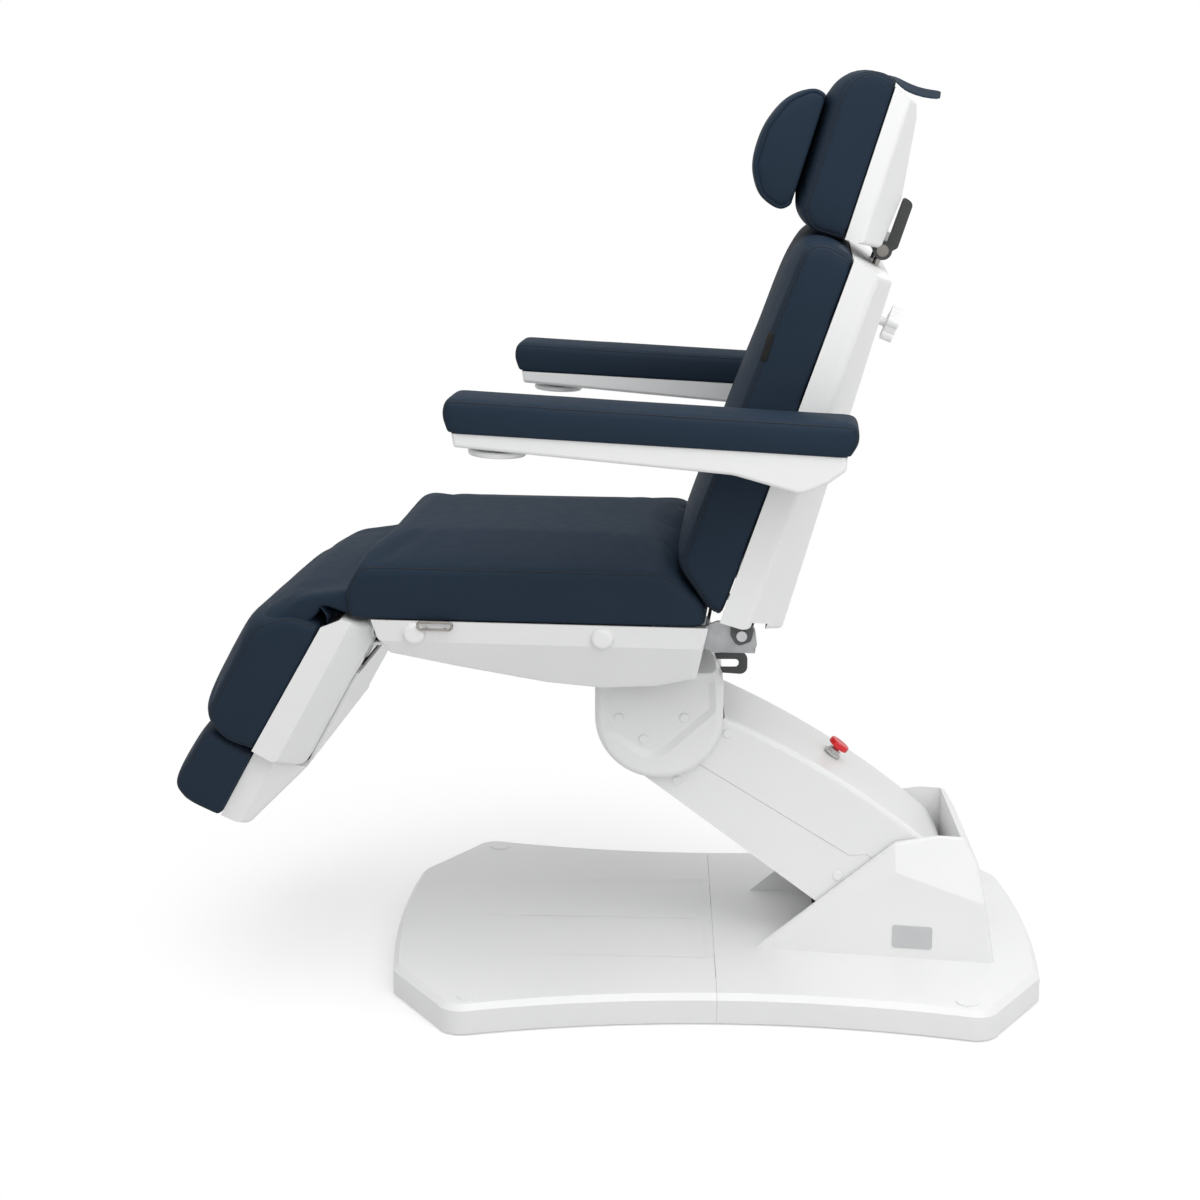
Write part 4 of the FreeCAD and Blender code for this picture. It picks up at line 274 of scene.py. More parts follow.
# %% Grey powder coat on steel
powder_grey = Finish("grey_powder_coat")
powder_grey.between(powder_grey.noise(12.0), (0.062, 0.064, 0.066), (0.082, 0.085, 0.087))
powder_grey.gloss(powder_grey.noise(90.0, 3.0), 0.42, 0.58)
powder_grey.bump(powder_grey.noise(1400.0, 3.0), 0.22, 0.0003)

# %% Black plastic and rubber
lever_black = Finish("black_satin_plastic")
lever_black.between(lever_black.noise(14.0), (0.026, 0.028, 0.028), (0.040, 0.042, 0.042))
lever_black.gloss(lever_black.noise(60.0), 0.4, 0.55)
lever_black.bump(lever_black.cells(1300.0), 0.12, 0.0003)
foot_rubber = Finish("black_rubber")
foot_rubber.between(foot_rubber.noise(20.0), (0.014, 0.014, 0.014), (0.024, 0.024, 0.024))
foot_rubber.gloss(foot_rubber.noise(80.0), 0.7, 0.85)
foot_rubber.bump(foot_rubber.noise(900.0), 0.15, 0.0004)

# %% Red button plastic
button_red = Finish("red_gloss_plastic")
button_red.between(button_red.noise(30.0), (0.66, 0.016, 0.020), (0.74, 0.020, 0.026))
button_red.gloss(button_red.noise(120.0), 0.22, 0.32)
button_red.bump(button_red.noise(500.0), 0.02, 0.0002)

# %% Turned steel and chrome
turned_steel = Finish("turned_steel")
turned_steel.between(turned_steel.noise(60.0), (0.52, 0.52, 0.53), (0.60, 0.60, 0.61))
turned_steel.gloss(turned_steel.noise(300.0, 3.0), 0.24, 0.38)
turned_steel.bump(turned_steel.noise(1600.0), 0.05, 0.0001)
turned_steel.shader.inputs["Metallic"].default_value = 1.0
chrome = Finish("polished_chrome")
chrome.between(chrome.noise(40.0), (0.30, 0.28, 0.26), (0.36, 0.34, 0.32))
chrome.gloss(chrome.noise(150.0), 0.06, 0.14)
chrome.bump(chrome.noise(600.0), 0.01, 0.0001)
chrome.shader.inputs["Metallic"].default_value = 1.0

# %% Zinc plate and the milky collar
zinc_plate = Finish("zinc_plated_steel")
zinc_plate.between(zinc_plate.noise(35.0, 3.0), (0.36, 0.37, 0.38), (0.48, 0.49, 0.50))
zinc_plate.gloss(zinc_plate.noise(120.0, 3.0), 0.34, 0.5)
zinc_plate.bump(zinc_plate.noise(900.0), 0.06, 0.0002)
zinc_plate.shader.inputs["Metallic"].default_value = 0.7
collar_milk = Finish("milky_plastic")
collar_milk.between(collar_milk.noise(40.0), (0.74, 0.76, 0.76), (0.80, 0.82, 0.82))
collar_milk.gloss(collar_milk.noise(90.0), 0.22, 0.34)
collar_milk.bump(collar_milk.noise(500.0), 0.02, 0.0002)
collar_milk.shader.inputs["Transmission Weight"].default_value = 0.35

# %% [markdown]
# ## Finishes on the carried-over pieces
# The record names a material slot for each node. A node whose solid already has the right shape keeps it and
# only swaps its plain colour for the finish made above. Two nodes look different from the rest of their slot.

# %% Dress the nodes
finish_of_slot = {"vinyl_navy": vinyl, "plastic_white": shell_white, "plastic_grey": cap_grey,
                  "steel_painted": powder_grey, "plastic_black": lever_black, "rubber_black": foot_rubber,
                  "plastic_red": button_red, "steel_bright": turned_steel, "chrome": chrome}
finish_of_node = {"back_hinge_brackets": zinc_plate, "estop_collar": collar_milk}
for part in frame["record"]["subparts"]:
    dressed = node_objects[part["node"]]
    finish = finish_of_node.get(part["node"], finish_of_slot[part["material_slot"]])
    dressed.data.materials.clear()
    dressed.data.materials.append(finish.material)

# %% [markdown]
# ## Where the moving parts stand
# Cushions are easiest to draw in the frame of the part that carries them: level for the seat, along the lean for
# the back. The joints in the record give the hinge places, so each frame starts at its hinge and only needs its
# lean. Sizes below are metres, the same as in the solid model.

# %% Frames of the carried parts
def joint_place(name):
    return Vector(joints[name]["pos_m"])


seat_turn = math.radians(-4.4)
seat_rise = 0.185


def frame_at(place, lean):
    """A frame at place that shares the seat's swivel and leans by some degrees about the chair's width."""
    return (Matrix.Translation(place) @ Matrix.Rotation(seat_turn, 4, "Z")
            @ Matrix.Rotation(math.radians(lean), 4, "Y"))


seat_frame = frame_at(joint_place("swivel") + Vector((0, 0, seat_rise)), 0.0)
back_frame = frame_at(joint_place("back_recline"), 22.0)
head_frame = frame_at(joint_place("headrest_tilt"), 17.0)
leg_frame = frame_at(joint_place("leg_raise"), -61.0)
hubs = (joint_place("armrest_level_left") + joint_place("armrest_level_right")) / 2
rest_frame = frame_at(hubs, 2.6)
print("frames at", [tuple(round(c, 3) for c in f.translation) for f in (seat_frame, back_frame, head_frame)])

# %% [markdown]
# ## Cushions
# A cushion here is foam in a sewn vinyl cover: a side panel with a D-shaped outline at each end of the width and
# one long strip that wraps round between them. The blank is that outline drawn out across the width, with its
# corners and rims bevelled. A voxel remesh turns it into even quads that cloth can work with. The cloth is held
# where the seams and the board underneath hold it, and a little air pressure lets the panels swell between them.
# How far a point may move is capped, so the foam keeps its shape.

# %% Cushion blank
def board_distance(corners):
    """A measure of how far a point is from the board, the straight run from the last corner to the first."""
    board = Vector(corners[-1][:2])
    along = (Vector(corners[0][:2]) - board).normalized()
    inward = Vector((-along.y, along.x))
    if inward.dot(Vector(corners[2][:2]) - board) < 0:
        inward = -inward
    return lambda point: inward.dot(Vector((point.x, point.z)) - board)


def drawn_out(corners, half_width, rim):
    """A closed blank: the (x, z, radius) outline drawn out across the width, its corners and rims rounded."""
    blank = bmesh.new()
    ring = [blank.verts.new((x, -half_width, z)) for x, z, radius in corners]
    blank.faces.new(ring)
    pulled = bmesh.ops.extrude_face_region(blank, geom=blank.faces[:])
    far_ring = [item for item in pulled["geom"] if isinstance(item, bmesh.types.BMVert)]
    bmesh.ops.translate(blank, verts=far_ring, vec=(0, 2 * half_width, 0))
    for x, z, radius in corners:
        for edge in blank.edges[:]:
            a, b = edge.verts
            across = abs(a.co.y - b.co.y) > half_width
            if across and math.hypot(a.co.x - x, a.co.z - z) < 1e-5:
                faces = edge.link_faces
                angle = math.pi - faces[0].normal.angle(faces[1].normal)
                bmesh.ops.bevel(blank, geom=[edge], offset=radius / math.tan(angle / 2), segments=7,
                                profile=0.5, affect="EDGES", material=-1, clamp_overlap=True)
                break
    on_board = board_distance(corners)
    rims = []
    for edge in blank.edges:
        a, b = (vertex.co for vertex in edge.verts)
        at_end = abs(a.y - b.y) < 1e-6 and abs(a.y) > half_width - 1e-6
        if at_end and max(on_board(a), on_board(b)) > 1e-4:
            rims.append(edge)
    bmesh.ops.bevel(blank, geom=rims, offset=rim, segments=6, profile=0.5, affect="EDGES", material=-1,
                    clamp_overlap=True)
    bmesh.ops.recalc_face_normals(blank, faces=blank.faces)
    return blank


def modified_copy(piece):
    """The piece's mesh with its modifiers worked in."""
    bpy.context.view_layer.update()
    return bpy.data.meshes.new_from_object(piece.evaluated_get(bpy.context.evaluated_depsgraph_get()))


def bake_modifiers(piece):
    """Keeps the modified shape and drops the modifiers."""
    shaped = modified_copy(piece)
    piece.modifiers.clear()
    old = piece.data
    piece.data = shaped
    bpy.data.meshes.remove(old)


# %% Cloth for the covers
def inflate(piece, held, pressure, cap, frames=20):
    """Swells a closed cover by cloth simulation. held is the list of vertices that seams and board keep."""
    start = [vertex.co.copy() for vertex in piece.data.vertices]
    group = piece.vertex_groups.new(name="held")
    group.add(held, 1.0, "REPLACE")
    cloth = piece.modifiers.new("cover", "CLOTH")
    cloth.settings.quality = 4
    cloth.settings.mass = 0.4
    cloth.settings.tension_stiffness = 20
    cloth.settings.compression_stiffness = 20
    cloth.settings.bending_stiffness = 1.2
    cloth.settings.use_pressure = True
    cloth.settings.uniform_pressure_force = pressure
    cloth.settings.vertex_group_mass = "held"
    cloth.settings.effector_weights.gravity = 0.0
    cloth.point_cache.frame_start = 1
    cloth.point_cache.frame_end = frames
    for step in range(1, frames + 1):
        scene.frame_set(step)
    swollen = modified_copy(piece)
    moves = []
    for vertex, settled, origin in zip(piece.data.vertices, swollen.vertices, start):
        move = settled.co - origin
        if move.length > cap:
            move *= cap / move.length
        moves.append(move.length)
        vertex.co = origin + move
    piece.modifiers.clear()
    piece.vertex_groups.clear()
    bpy.data.meshes.remove(swollen)
    scene.frame_set(1)
    return max(moves)


# %% [markdown]
# A seam is a fine dark cord lying in a shallow groove. The groove is pressed into the cover after the cloth has
# settled and the mesh has been subdivided once, because a voxel is wider than a seam. Where the photograph shows
# topstitching, a row of short stitches runs along each side of the seam. They are laid on the finished cover, so
# each one is dropped onto the nearest point of it.

# %% Seam paths
path_step = 0.003
corner_points = 12


def seam_path(corners, inset):
    """Evenly spaced (x, z) points along a rounded outline, drawn in by inset, from board edge to board edge."""
    count = len(corners)
    middle = sum((Vector(c[:2]) for c in corners), Vector((0.0, 0.0))) / count
    path = []
    for i, (x, z, radius) in enumerate(corners):
        here = Vector((x, z))
        back = (Vector(corners[i - 1][:2]) - here).normalized()
        ahead = (Vector(corners[(i + 1) % count][:2]) - here).normalized()
        reach = radius / math.tan(back.angle(ahead) / 2)
        for k in range(corner_points + 1):
            t = k / corner_points
            path.append(here + back * reach * (1 - t) ** 2 + ahead * reach * t * t)
    drawn = [point + (middle - point).normalized() * inset for point in path]
    spaced = []
    carry = 0.0
    for a, b in zip(drawn, drawn[1:]):
        length = (b - a).length
        while carry < length:
            spaced.append(a.lerp(b, carry / length))
            carry += path_step
        carry -= length
    return spaced


def laid_on(surface, path, y):
    """The path at width y, dropped onto the nearest points of a cover, with the cover's normals there."""
    found = [surface.find_nearest(Vector((point.x, y, point.y))) for point in path]
    return [(hit[0], hit[1]) for hit in found]


# %% Seam cords and stitches
thread = Finish("navy_thread")
thread.between(thread.noise(300.0), (0.006, 0.009, 0.016), (0.010, 0.014, 0.022))
thread.gloss(thread.noise(200.0), 0.6, 0.75)
thread.bump(thread.noise(1500.0), 0.3, 0.0002)


def tube_into(target, points, radius):
    """Adds a round cord along points to a bmesh. A curve with a round bevel gives its mesh."""
    line = bpy.data.curves.new("cord_line", "CURVE")
    line.dimensions = "3D"
    line.bevel_depth = radius
    line.bevel_resolution = 1
    line.use_fill_caps = True
    spline = line.splines.new("POLY")
    spline.points.add(len(points) - 1)
    for knot, point in zip(spline.points, points):
        knot.co = (*point, 1.0)
    holder = bpy.data.objects.new("cord_line", line)
    mesh = bpy.data.meshes.new_from_object(holder)
    target.from_mesh(mesh)
    bpy.data.meshes.remove(mesh)
    bpy.data.objects.remove(holder)
    bpy.data.curves.remove(line)


def stitches_into(target, laid, length=0.0045, pitch=0.0065, radius=0.00055):
    """Adds a row of short stitches to a bmesh, each a stretched ball lying along the path."""
    stride = max(round(pitch / path_step), 2)
    for i in range(0, len(laid) - 1, stride):
        place, normal = laid[i]
        along = (laid[i + 1][0] - place)
        if along.length < 1e-6:
            continue
        turn = along.to_track_quat("Z", "Y").to_matrix().to_4x4()
        size = Matrix.Diagonal((radius, radius, length / 2, 1.0))
        bmesh.ops.create_uvsphere(target, u_segments=6, v_segments=4, radius=1.0,
                                  matrix=Matrix.Translation(place + normal * radius * 0.4) @ turn @ size)


# %% Cushion maker
def new_piece(name, mesh, finish, body=None):
    """Links a mesh as a piece with a finish, riding on one of the chair's bodies if one is named."""
    piece = bpy.data.objects.new(name, mesh)
    scene.collection.objects.link(piece)
    mesh.materials.clear()
    mesh.materials.append(finish.material)
    if body:
        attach(piece, body)
    return piece


def shade_smooth(mesh):
    mesh.polygons.foreach_set("use_smooth", [True] * len(mesh.polygons))


def smoothstep(low, high, value):
    t = min(max((value - low) / (high - low), 0.0), 1.0)
    return t * t * (3 - 2 * t)


seam_inset = 0.3  # of the rim's radius, where the seam runs round it
seam_depth = 0.0018
seam_spread = 0.0065
stitch_gap = 0.006
even_passes = 8


def relax(mesh, passes, moves=lambda point: True):
    """Evens out a mesh with some passes of vertex smoothing, at the points that may move."""
    soft = bmesh.new()
    soft.from_mesh(mesh)
    free = [vertex for vertex in soft.verts if moves(vertex.co)]
    for _ in range(passes):
        bmesh.ops.smooth_vert(soft, verts=free, factor=0.5, use_axis_x=True, use_axis_y=True, use_axis_z=True)
    soft.to_mesh(mesh)
    soft.free()


def even_form(name, corners, half_width, rim, voxel):
    """The drawn-out blank as an object of even quads."""
    blank = drawn_out(corners, half_width, rim)
    mesh = bpy.data.meshes.new(name)
    blank.to_mesh(mesh)
    blank.free()
    former = bpy.data.objects.new(name + "_former", mesh)
    scene.collection.objects.link(former)
    even = former.modifiers.new("even", "REMESH")
    even.mode = "VOXEL"
    even.voxel_size = voxel
    bake_modifiers(former)
    return former


def cover_mesh(name, corners, half_width, rim, crown, voxel, cap, pressure=4.0):
    """The swollen cover of one cushion in its own frame, with its seam groove pressed in."""
    former = even_form(name, corners, half_width, rim, voxel)
    direction, low, high, height, fullness = crown
    for vertex in former.data.vertices:
        aside = abs(vertex.co.y) / half_width
        share = smoothstep(low, high, vertex.co.dot(direction)) * (1 - aside ** fullness)
        vertex.co += direction * height * share
    on_board = board_distance(corners)
    relax(former.data, even_passes, lambda point: on_board(point) > voxel * 1.5)
    inset = rim * seam_inset
    path = seam_path(corners, inset)
    rails = [Vector((p.x, side * (half_width - inset), p.y)) for side in (-1, 1) for p in path]
    seams = KDTree(len(rails))
    for i, point in enumerate(rails):
        seams.insert(point, i)
    seams.balance()
    held = []
    for vertex in former.data.vertices:
        if on_board(vertex.co) < voxel * 0.8 or seams.find(vertex.co)[2] < voxel * 0.9:
            held.append(vertex.index)
    moved = 0.0
    moved = inflate(former, held, pressure, cap)
    divide = former.modifiers.new("finer", "SUBSURF")
    divide.levels = divide.render_levels = 1
    bake_modifiers(former)
    relax(former.data, even_passes, lambda point: on_board(point) > voxel)
    normals = [vertex.normal.copy() for vertex in former.data.vertices]
    for vertex, normal in zip(former.data.vertices, normals):
        near = seams.find(vertex.co)[2]
        vertex.co -= normal * seam_depth * math.exp(-(near / seam_spread) ** 2)
    shade_smooth(former.data)
    finished = former.data
    bpy.data.objects.remove(former)
    print(name, len(finished.polygons), "faces, swollen by up to", round(moved * 1000, 1), "mm")
    return finished


def surface_of(mesh):
    """A search tree over a mesh, for laying things on it."""
    return BVHTree.FromPolygons([v.co for v in mesh.vertices], [list(p.vertices) for p in mesh.polygons])


def seam_mesh(name, cover, corners, half_width, rim, rows, cord=0.0008):
    """The cords and stitches that lie on a cover, in the same frame as the cover."""
    surface = surface_of(cover)
    sewn = bmesh.new()
    inset = rim * seam_inset
    for side in (-1, 1):
        line = laid_on(surface, seam_path(corners, inset), side * (half_width - inset))
        tube_into(sewn, [place + normal * cord * 0.2 for place, normal in line], cord)
        if rows > 1:
            on_side = seam_path(corners, inset + stitch_gap)
            stitches_into(sewn, laid_on(surface, on_side, side * half_width))
            on_front = seam_path(corners, 0.0)
            stitches_into(sewn, laid_on(surface, on_front, side * (half_width - inset - stitch_gap)))
    mesh = bpy.data.meshes.new(name)
    sewn.to_mesh(mesh)
    sewn.free()
    shade_smooth(mesh)
    return mesh


def cushion(name, node, body, place, corners, half_width, rim, crown, voxel, cap, rows=1):
    """A cushion with its seams, set in its place on the chair."""
    cover = cover_mesh(name, corners, half_width, rim, crown, voxel, cap)
    sewn = seam_mesh(name + "_seams", cover, corners, half_width, rim, rows)
    return place_cushion(name, node, body, place, cover, sewn)


def place_cushion(name, node, body, place, cover, sewn, sewn_finish=thread):
    """Sets a cover and its seams in their place, as pieces on a body that stand for a plain cushion."""
    cover.transform(place)
    sewn.transform(place)
    piece = new_piece(name, cover, vinyl, body)
    new_piece(name + "_seams", sewn, sewn_finish, body)
    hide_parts(node)
    return piece


# %% [markdown]
# ### Seat, back, legs and head
# The outlines follow those of the solids, seen from the chair's left side. The first and last corner lie on the
# board, so the seam starts and ends there. The crown says which way the big panel bulges, where it begins, how
# high it is and how full: a high power keeps the bulge level nearly to the seam.

# %% Seat cushion
up = Vector((0, 0, 1))
forward = Vector((-1, 0, 0))
seat_outline = [(-0.450, 0.0004, 0.012), (-0.464, 0.036, 0.036), (-0.438, 0.083, 0.036), (0.034, 0.082, 0.060),
                (0.098, 0.022, 0.026), (0.086, 0.0004, 0.006)]
cushion("seat_upholstery", "seat_cushion", "seat", seat_frame, seat_outline, 0.287, 0.014,
        (up, 0.050, 0.080, 0.023, 8), 0.0065, 0.008)

# %% Back cushion
back_outline = [(-0.0404, 0.016, 0.008), (-0.062, 0.016, 0.010), (-0.128, 0.060, 0.030), (-0.141, 0.574, 0.030),
                (-0.112, 0.582, 0.020), (-0.0704, 0.578, 0.014)]
back_cushion = cushion("back_upholstery", "back_cushion", "backrest", back_frame, back_outline, 0.284, 0.015,
                       (forward, 0.090, 0.128, 0.014, 6), 0.0065, 0.010, rows=2)

# %% Leg and foot cushions
leg_outline = [(0.002, 0.0184, 0.008), (0.000, 0.064, 0.040), (-0.044, 0.110, 0.044), (-0.222, 0.110, 0.034),
               (-0.240, 0.068, 0.034), (-0.230, 0.0224, 0.008)]
cushion("leg_upholstery", "leg_cushion", "legrest", leg_frame, leg_outline, 0.284, 0.015,
        (up, 0.066, 0.108, 0.022, 8), 0.006, 0.010)
foot_outline = [(-0.237, 0.0194, 0.006), (-0.237, 0.102, 0.020), (-0.351, 0.108, 0.020), (-0.365, 0.076, 0.026),
                (-0.359, 0.0194, 0.008)]
cushion("foot_upholstery", "foot_cushion", "footrest", leg_frame, foot_outline, 0.276, 0.014,
        (up, 0.070, 0.104, 0.010, 6), 0.006, 0.007)

# %% Headrest cushion
head_outline = [(-0.0614, 0.000, 0.008), (-0.110, -0.002, 0.022), (-0.132, 0.022, 0.030), (-0.134, 0.205, 0.056),
                (-0.100, 0.262, 0.046), (-0.0614, 0.238, 0.012)]
head_cushion = cushion("head_upholstery", "headrest_cushion", "headrest", head_frame, head_outline, 0.163, 0.014,
                       (forward, 0.090, 0.128, 0.018, 5), 0.005, 0.008, rows=2)

# %% [markdown]
# ### Neck pillow
# The pillow is a D-shaped roll hung in front of the headrest. Its end panels are edged with piping, a cord covered
# in the same vinyl, so its seam cord is thicker than on the cushions and has the vinyl's finish.

# %% Neck pillow
pillow_outline = [(-0.1524, 0.026, 0.006), (-0.164, 0.010, 0.010), (-0.200, 0.022, 0.030),
                  (-0.2245, 0.062, 0.050), (-0.2245, 0.122, 0.060), (-0.204, 0.172, 0.050),
                  (-0.172, 0.198, 0.020), (-0.1524, 0.192, 0.006)]
pillow_half, pillow_rim, piping = 0.148, 0.010, 0.0026
pillow_cover = cover_mesh("neck_pillow_cover", pillow_outline, pillow_half, pillow_rim,
                          (forward, 0.170, 0.205, 0.006, 4), 0.005, 0.008)
pillow_piping = seam_mesh("neck_pillow_cover_seams", pillow_cover, pillow_outline, pillow_half, pillow_rim, 1,
                          piping)
place_cushion("neck_pillow_cover", "neck_pillow", "headrest", head_frame, pillow_cover, pillow_piping, vinyl)

# %% [markdown]
# ### Armrest pads
# Both pads are the same, so one cover is made and its copies are set to the left and right of the hubs.

# %% Armrest pads
rest_outline = [(-0.507, 0.0114, 0.006), (-0.518, 0.036, 0.018), (-0.513, 0.059, 0.010), (0.070, 0.057, 0.010),
                (0.074, 0.032, 0.018), (0.062, 0.0114, 0.006)]
rest_reach, rest_half, rest_rim = 0.355, 0.056, 0.006
rest_cover = cover_mesh("armrest_upholstery", rest_outline, rest_half, rest_rim, (up, 0.040, 0.056, 0.003, 4),
                        0.0045, 0.004)
rest_seams = seam_mesh("armrest_seams", rest_cover, rest_outline, rest_half, rest_rim, 1)
for side, way in (("left", -1), ("right", 1)):
    beside = rest_frame @ Matrix.Translation((0, way * rest_reach, 0))
    place_cushion("armrest_upholstery_" + side, "armrest_pad_" + side, "rest_" + side, beside, rest_cover.copy(),
                  rest_seams.copy())

# %% [markdown]
# ## The knee
# Between seat and legrest the vinyl has slack, so that the leg can swing. A soft web comes out from the front of
# the seat and runs on over the knee into the leg cushion's top panel, and under its ends the spare vinyl tucks
# down in a fold. The web is a blank drawn out across the width like the cushions. The fold is a thin sheet: its
# line is drawn out, subdivided and given its thickness by Solidify. Both are set in place with the seat's frame.

# %% Ribbon helper
def ribbon(line, half_width, cuts):
    """A bmesh strip: the (x, z) line drawn out across the width and divided along it."""
    strip = bmesh.new()
    row = [strip.verts.new((x, -half_width, z)) for x, z in line]
    edges = [strip.edges.new(pair) for pair in zip(row, row[1:])]
    drawn = bmesh.ops.extrude_edge_only(strip, edges=edges)
    far_row = [item for item in drawn["geom"] if isinstance(item, bmesh.types.BMVert)]
    bmesh.ops.translate(strip, verts=far_row, vec=(0, 2 * half_width, 0))
    across = [edge for edge in strip.edges if abs(edge.verts[0].co.y - edge.verts[1].co.y) > half_width]
    bmesh.ops.subdivide_edges(strip, edges=across, cuts=cuts, use_grid_fill=True)
    return strip


def sheet_piece(name, strip, thickness, body=None, finish=vinyl):
    """Makes a bmesh strip into a piece with an even thickness and smooth lines."""
    mesh = bpy.data.meshes.new(name)
    strip.to_mesh(mesh)
    strip.free()
    shade_smooth(mesh)
    piece = new_piece(name, mesh, finish, body)
    wall = piece.modifiers.new("wall", "SOLIDIFY")
    wall.thickness = thickness
    wall.offset = 0.0
    smoother = piece.modifiers.new("smoother", "SUBSURF")
    smoother.levels = smoother.render_levels = 1
    bake_modifiers(piece)
    shade_smooth(piece.data)
    return piece


# %% Knee web
web_half = 0.274
web_crown = 0.012
web_end, web_sag = 0.045, 0.020
ripple_height, ripple_rate = 0.0014, 64.0
web_outline = [(-0.440, 0.0008, 0.004), (-0.458, 0.004, 0.006), (-0.484, 0.012, 0.010), (-0.4985, 0.015, 0.002),
               (-0.505, 0.000, 0.006), (-0.540, -0.030, 0.004), (-0.600, -0.058, 0.004), (-0.620, -0.038, 0.004),
               (-0.594, 0.000, 0.040), (-0.546, 0.028, 0.060), (-0.500, 0.033, 0.060), (-0.458, 0.042, 0.020),
               (-0.440, 0.050, 0.004)]
web_former = even_form("knee_web", web_outline, web_half, 0.004, 0.004)
for vertex in web_former.data.vertices:
    off_seat = smoothstep(0.452, 0.500, -vertex.co.x)
    aside = abs(vertex.co.y) / web_half
    at_end = max(abs(vertex.co.y) - (web_half - web_end), 0.0) / web_end
    ripple = ripple_height * math.sin(vertex.co.y * ripple_rate) * smoothstep(0.4, 0.9, aside)
    sag = web_sag * at_end ** 2 * smoothstep(0.515, 0.560, -vertex.co.x)
    vertex.co.z += off_seat * (web_crown * (1 - aside ** 2) + ripple) - sag
relax(web_former.data, even_passes)
web_mesh = web_former.data
bpy.data.objects.remove(web_former)
web_mesh.transform(seat_frame)
shade_smooth(web_mesh)


def bend_at_knee(piece):
    """Works the piece's placement into its mesh."""
    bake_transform(piece)


knee_web = new_piece("knee_web", web_mesh, vinyl)
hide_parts("knee_flap")
bend_at_knee(knee_web)
print("knee web", len(web_mesh.polygons), "faces")

# %% Knee fold
fold_line = [(-0.491, -0.013), (-0.4885, -0.006), (-0.489, 0.000), (-0.493, 0.007), (-0.499, 0.014),
             (-0.504, 0.0215)]
fold = ribbon(fold_line, web_half, 24)
for vertex in fold.verts:
    vertex.co.z += web_crown * smoothstep(0.488, 0.504, -vertex.co.x) * (1 - (vertex.co.y / web_half) ** 2)
bmesh.ops.transform(fold, matrix=seat_frame, verts=fold.verts)
knee_fold = sheet_piece("knee_fold", fold, 0.0026)
bend_at_knee(knee_fold)
print("knee fold", len(knee_fold.data.polygons), "faces")

# %% [markdown]
# ## Strap, tag and plate
# The neck pillow hangs on a flat strap that comes up behind it, over the top of the headrest, and sticks out to
# the rear. It is a ribbon like the fold at the knee, laid on the cushion where it crosses it. A small woven tag is
# sewn into the seam of the back cushion, and a plain grey plate is stuck on the tower. Both are left blank.

# %% Strap
strap_half = 0.022
strap_twist = 0.30
strap_lift = 0.0016
strap_line = [(-0.1535, 0.168), (-0.1530, 0.184), (-0.1480, 0.203), (-0.1380, 0.219), (-0.1270, 0.232),
              (-0.1080, 0.248), (-0.0870, 0.2525), (-0.0740, 0.2500), (-0.0610, 0.2450), (-0.0480, 0.2405),
              (-0.0360, 0.2375), (-0.0120, 0.2365), (0.0140, 0.2420)]
strap = ribbon(strap_line, strap_half, 5)
head_surface = surface_of(head_cushion.data)
to_head = head_frame.inverted()
for vertex in strap.verts:
    place, normal, *_ = head_surface.find_nearest(head_frame @ vertex.co)
    lies = smoothstep(-0.150, -0.130, vertex.co.x) * (1 - smoothstep(-0.080, -0.060, vertex.co.x))
    vertex.co.z += strap_twist * vertex.co.y * smoothstep(-0.080, -0.040, vertex.co.x)
    vertex.co = vertex.co.lerp(to_head @ (place + normal * strap_lift), lies)
bmesh.ops.transform(strap, matrix=head_frame, verts=strap.verts)
pillow_strap = sheet_piece("pillow_strap", strap, 0.0026, "headrest")

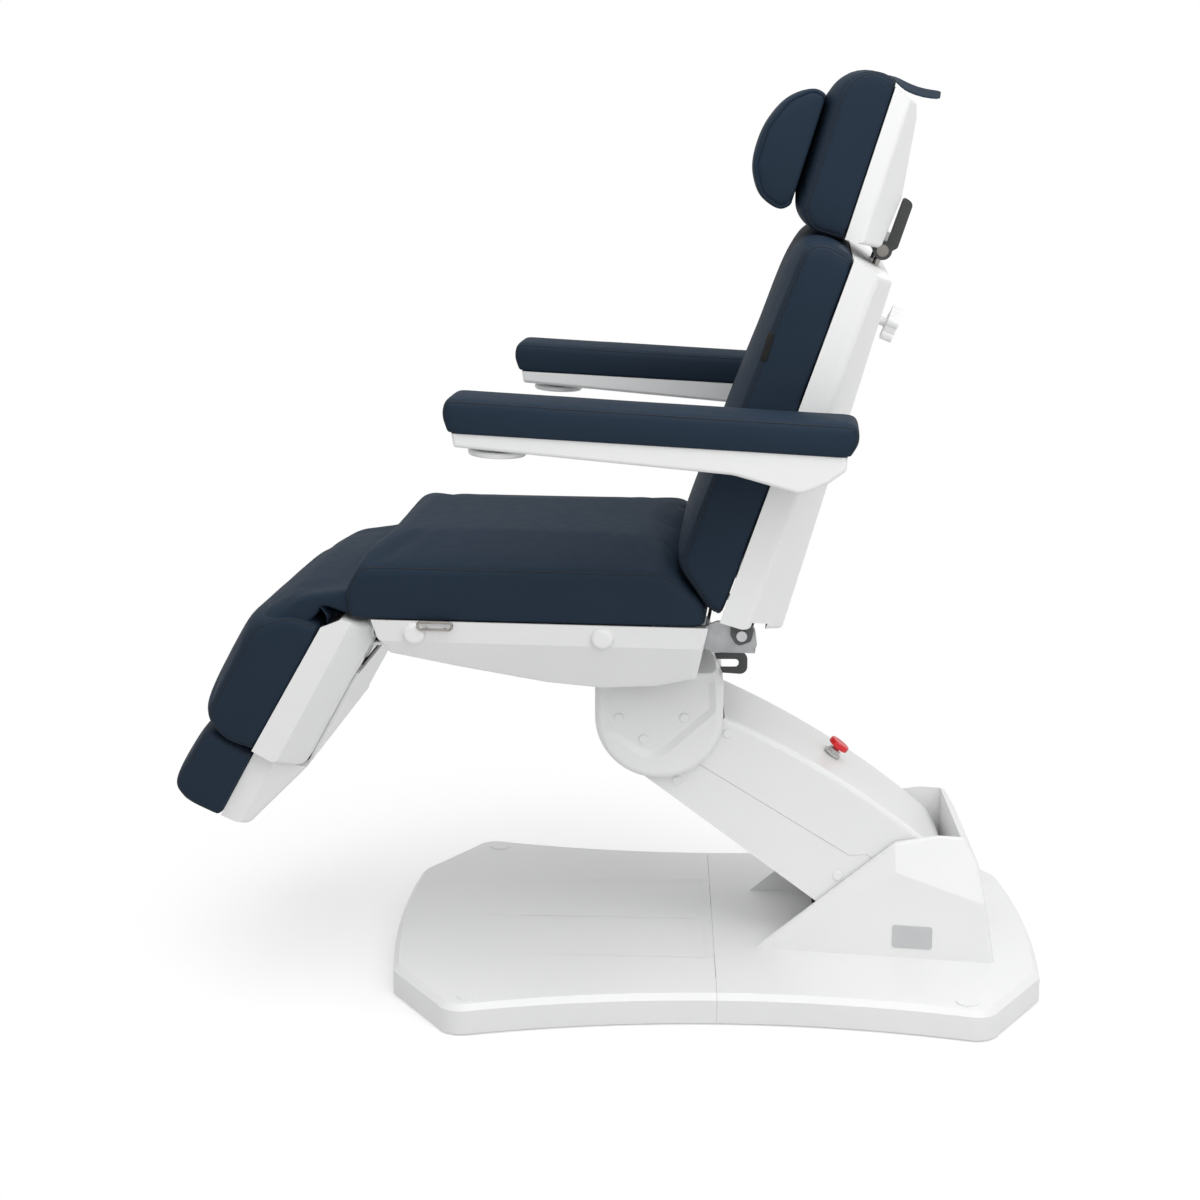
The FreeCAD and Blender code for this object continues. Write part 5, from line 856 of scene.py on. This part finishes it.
# %% Woven tag
tag_black = Finish("black_woven_tag")
tag_black.between(tag_black.noise(400.0), (0.010, 0.010, 0.010), (0.020, 0.020, 0.019))
tag_black.gloss(tag_black.noise(300.0), 0.55, 0.75)
tag_black.bump(tag_black.cells(1600.0), 0.4, 0.0003)
tag_black.shader.inputs["Specular IOR Level"].default_value = 0.15
tag_place, tag_lean, tag_size, tag_lift = (-0.1340, 0.412), math.radians(5.5), (0.010, 0.042), 0.0009
tag = bmesh.new()
bmesh.ops.create_grid(tag, x_segments=3, y_segments=8, size=0.5)
bmesh.ops.scale(tag, vec=(tag_size[0], tag_size[1], 1.0), verts=tag.verts)
bmesh.ops.rotate(tag, cent=(0, 0, 0), matrix=Matrix.Rotation(tag_lean, 3, "Z"), verts=tag.verts)
back_surface = surface_of(back_cushion.data)
inwards = back_frame.to_3x3() @ Vector((0, 1, 0))
for vertex in tag.verts:
    beside = Vector((tag_place[0] + vertex.co.x, -0.320, tag_place[1] + vertex.co.y))
    hit = back_surface.ray_cast(back_frame @ beside, inwards)
    vertex.co = hit[0] + hit[1] * tag_lift
seam_tag = sheet_piece("seam_tag", tag, 0.0010, "backrest", tag_black)

# %% Blank plate on the tower
plate_low, plate_high = Vector((0.287, 0.067)), Vector((0.350, 0.104))
plate_corner, plate_thickness, plate_gap = 0.004, 0.0012, 0.0002
tower = surface_of(node_objects["base_cover_rear"].data)
plate = bmesh.new()
bmesh.ops.create_grid(plate, x_segments=1, y_segments=1, size=0.5)
plate_size = plate_high - plate_low
bmesh.ops.scale(plate, vec=(plate_size.x, plate_size.y, 1.0), verts=plate.verts)
bmesh.ops.bevel(plate, geom=plate.verts, offset=plate_corner, segments=4, profile=0.5, affect="VERTICES",
                material=-1)
middle = (plate_low + plate_high) / 2
for vertex in plate.verts:
    beside = base_middle + Vector((middle.x + vertex.co.x, -0.6, middle.y + vertex.co.y))
    hit = tower.ray_cast(beside, Vector((0, 1, 0)))
    vertex.co = hit[0] - Vector((0, plate_gap, 0))
plate_face = bmesh.ops.extrude_face_region(plate, geom=plate.faces[:])
raised = [item for item in plate_face["geom"] if isinstance(item, bmesh.types.BMVert)]
bmesh.ops.translate(plate, verts=raised, vec=(0, -plate_thickness, 0))
bmesh.ops.recalc_face_normals(plate, faces=plate.faces)
plate_mesh = bpy.data.meshes.new("tower_plate")
plate.to_mesh(plate_mesh)
plate.free()
new_piece("tower_plate", plate_mesh, cap_grey, "base")
print("plate", [round(c, 3) for c in plate_size])
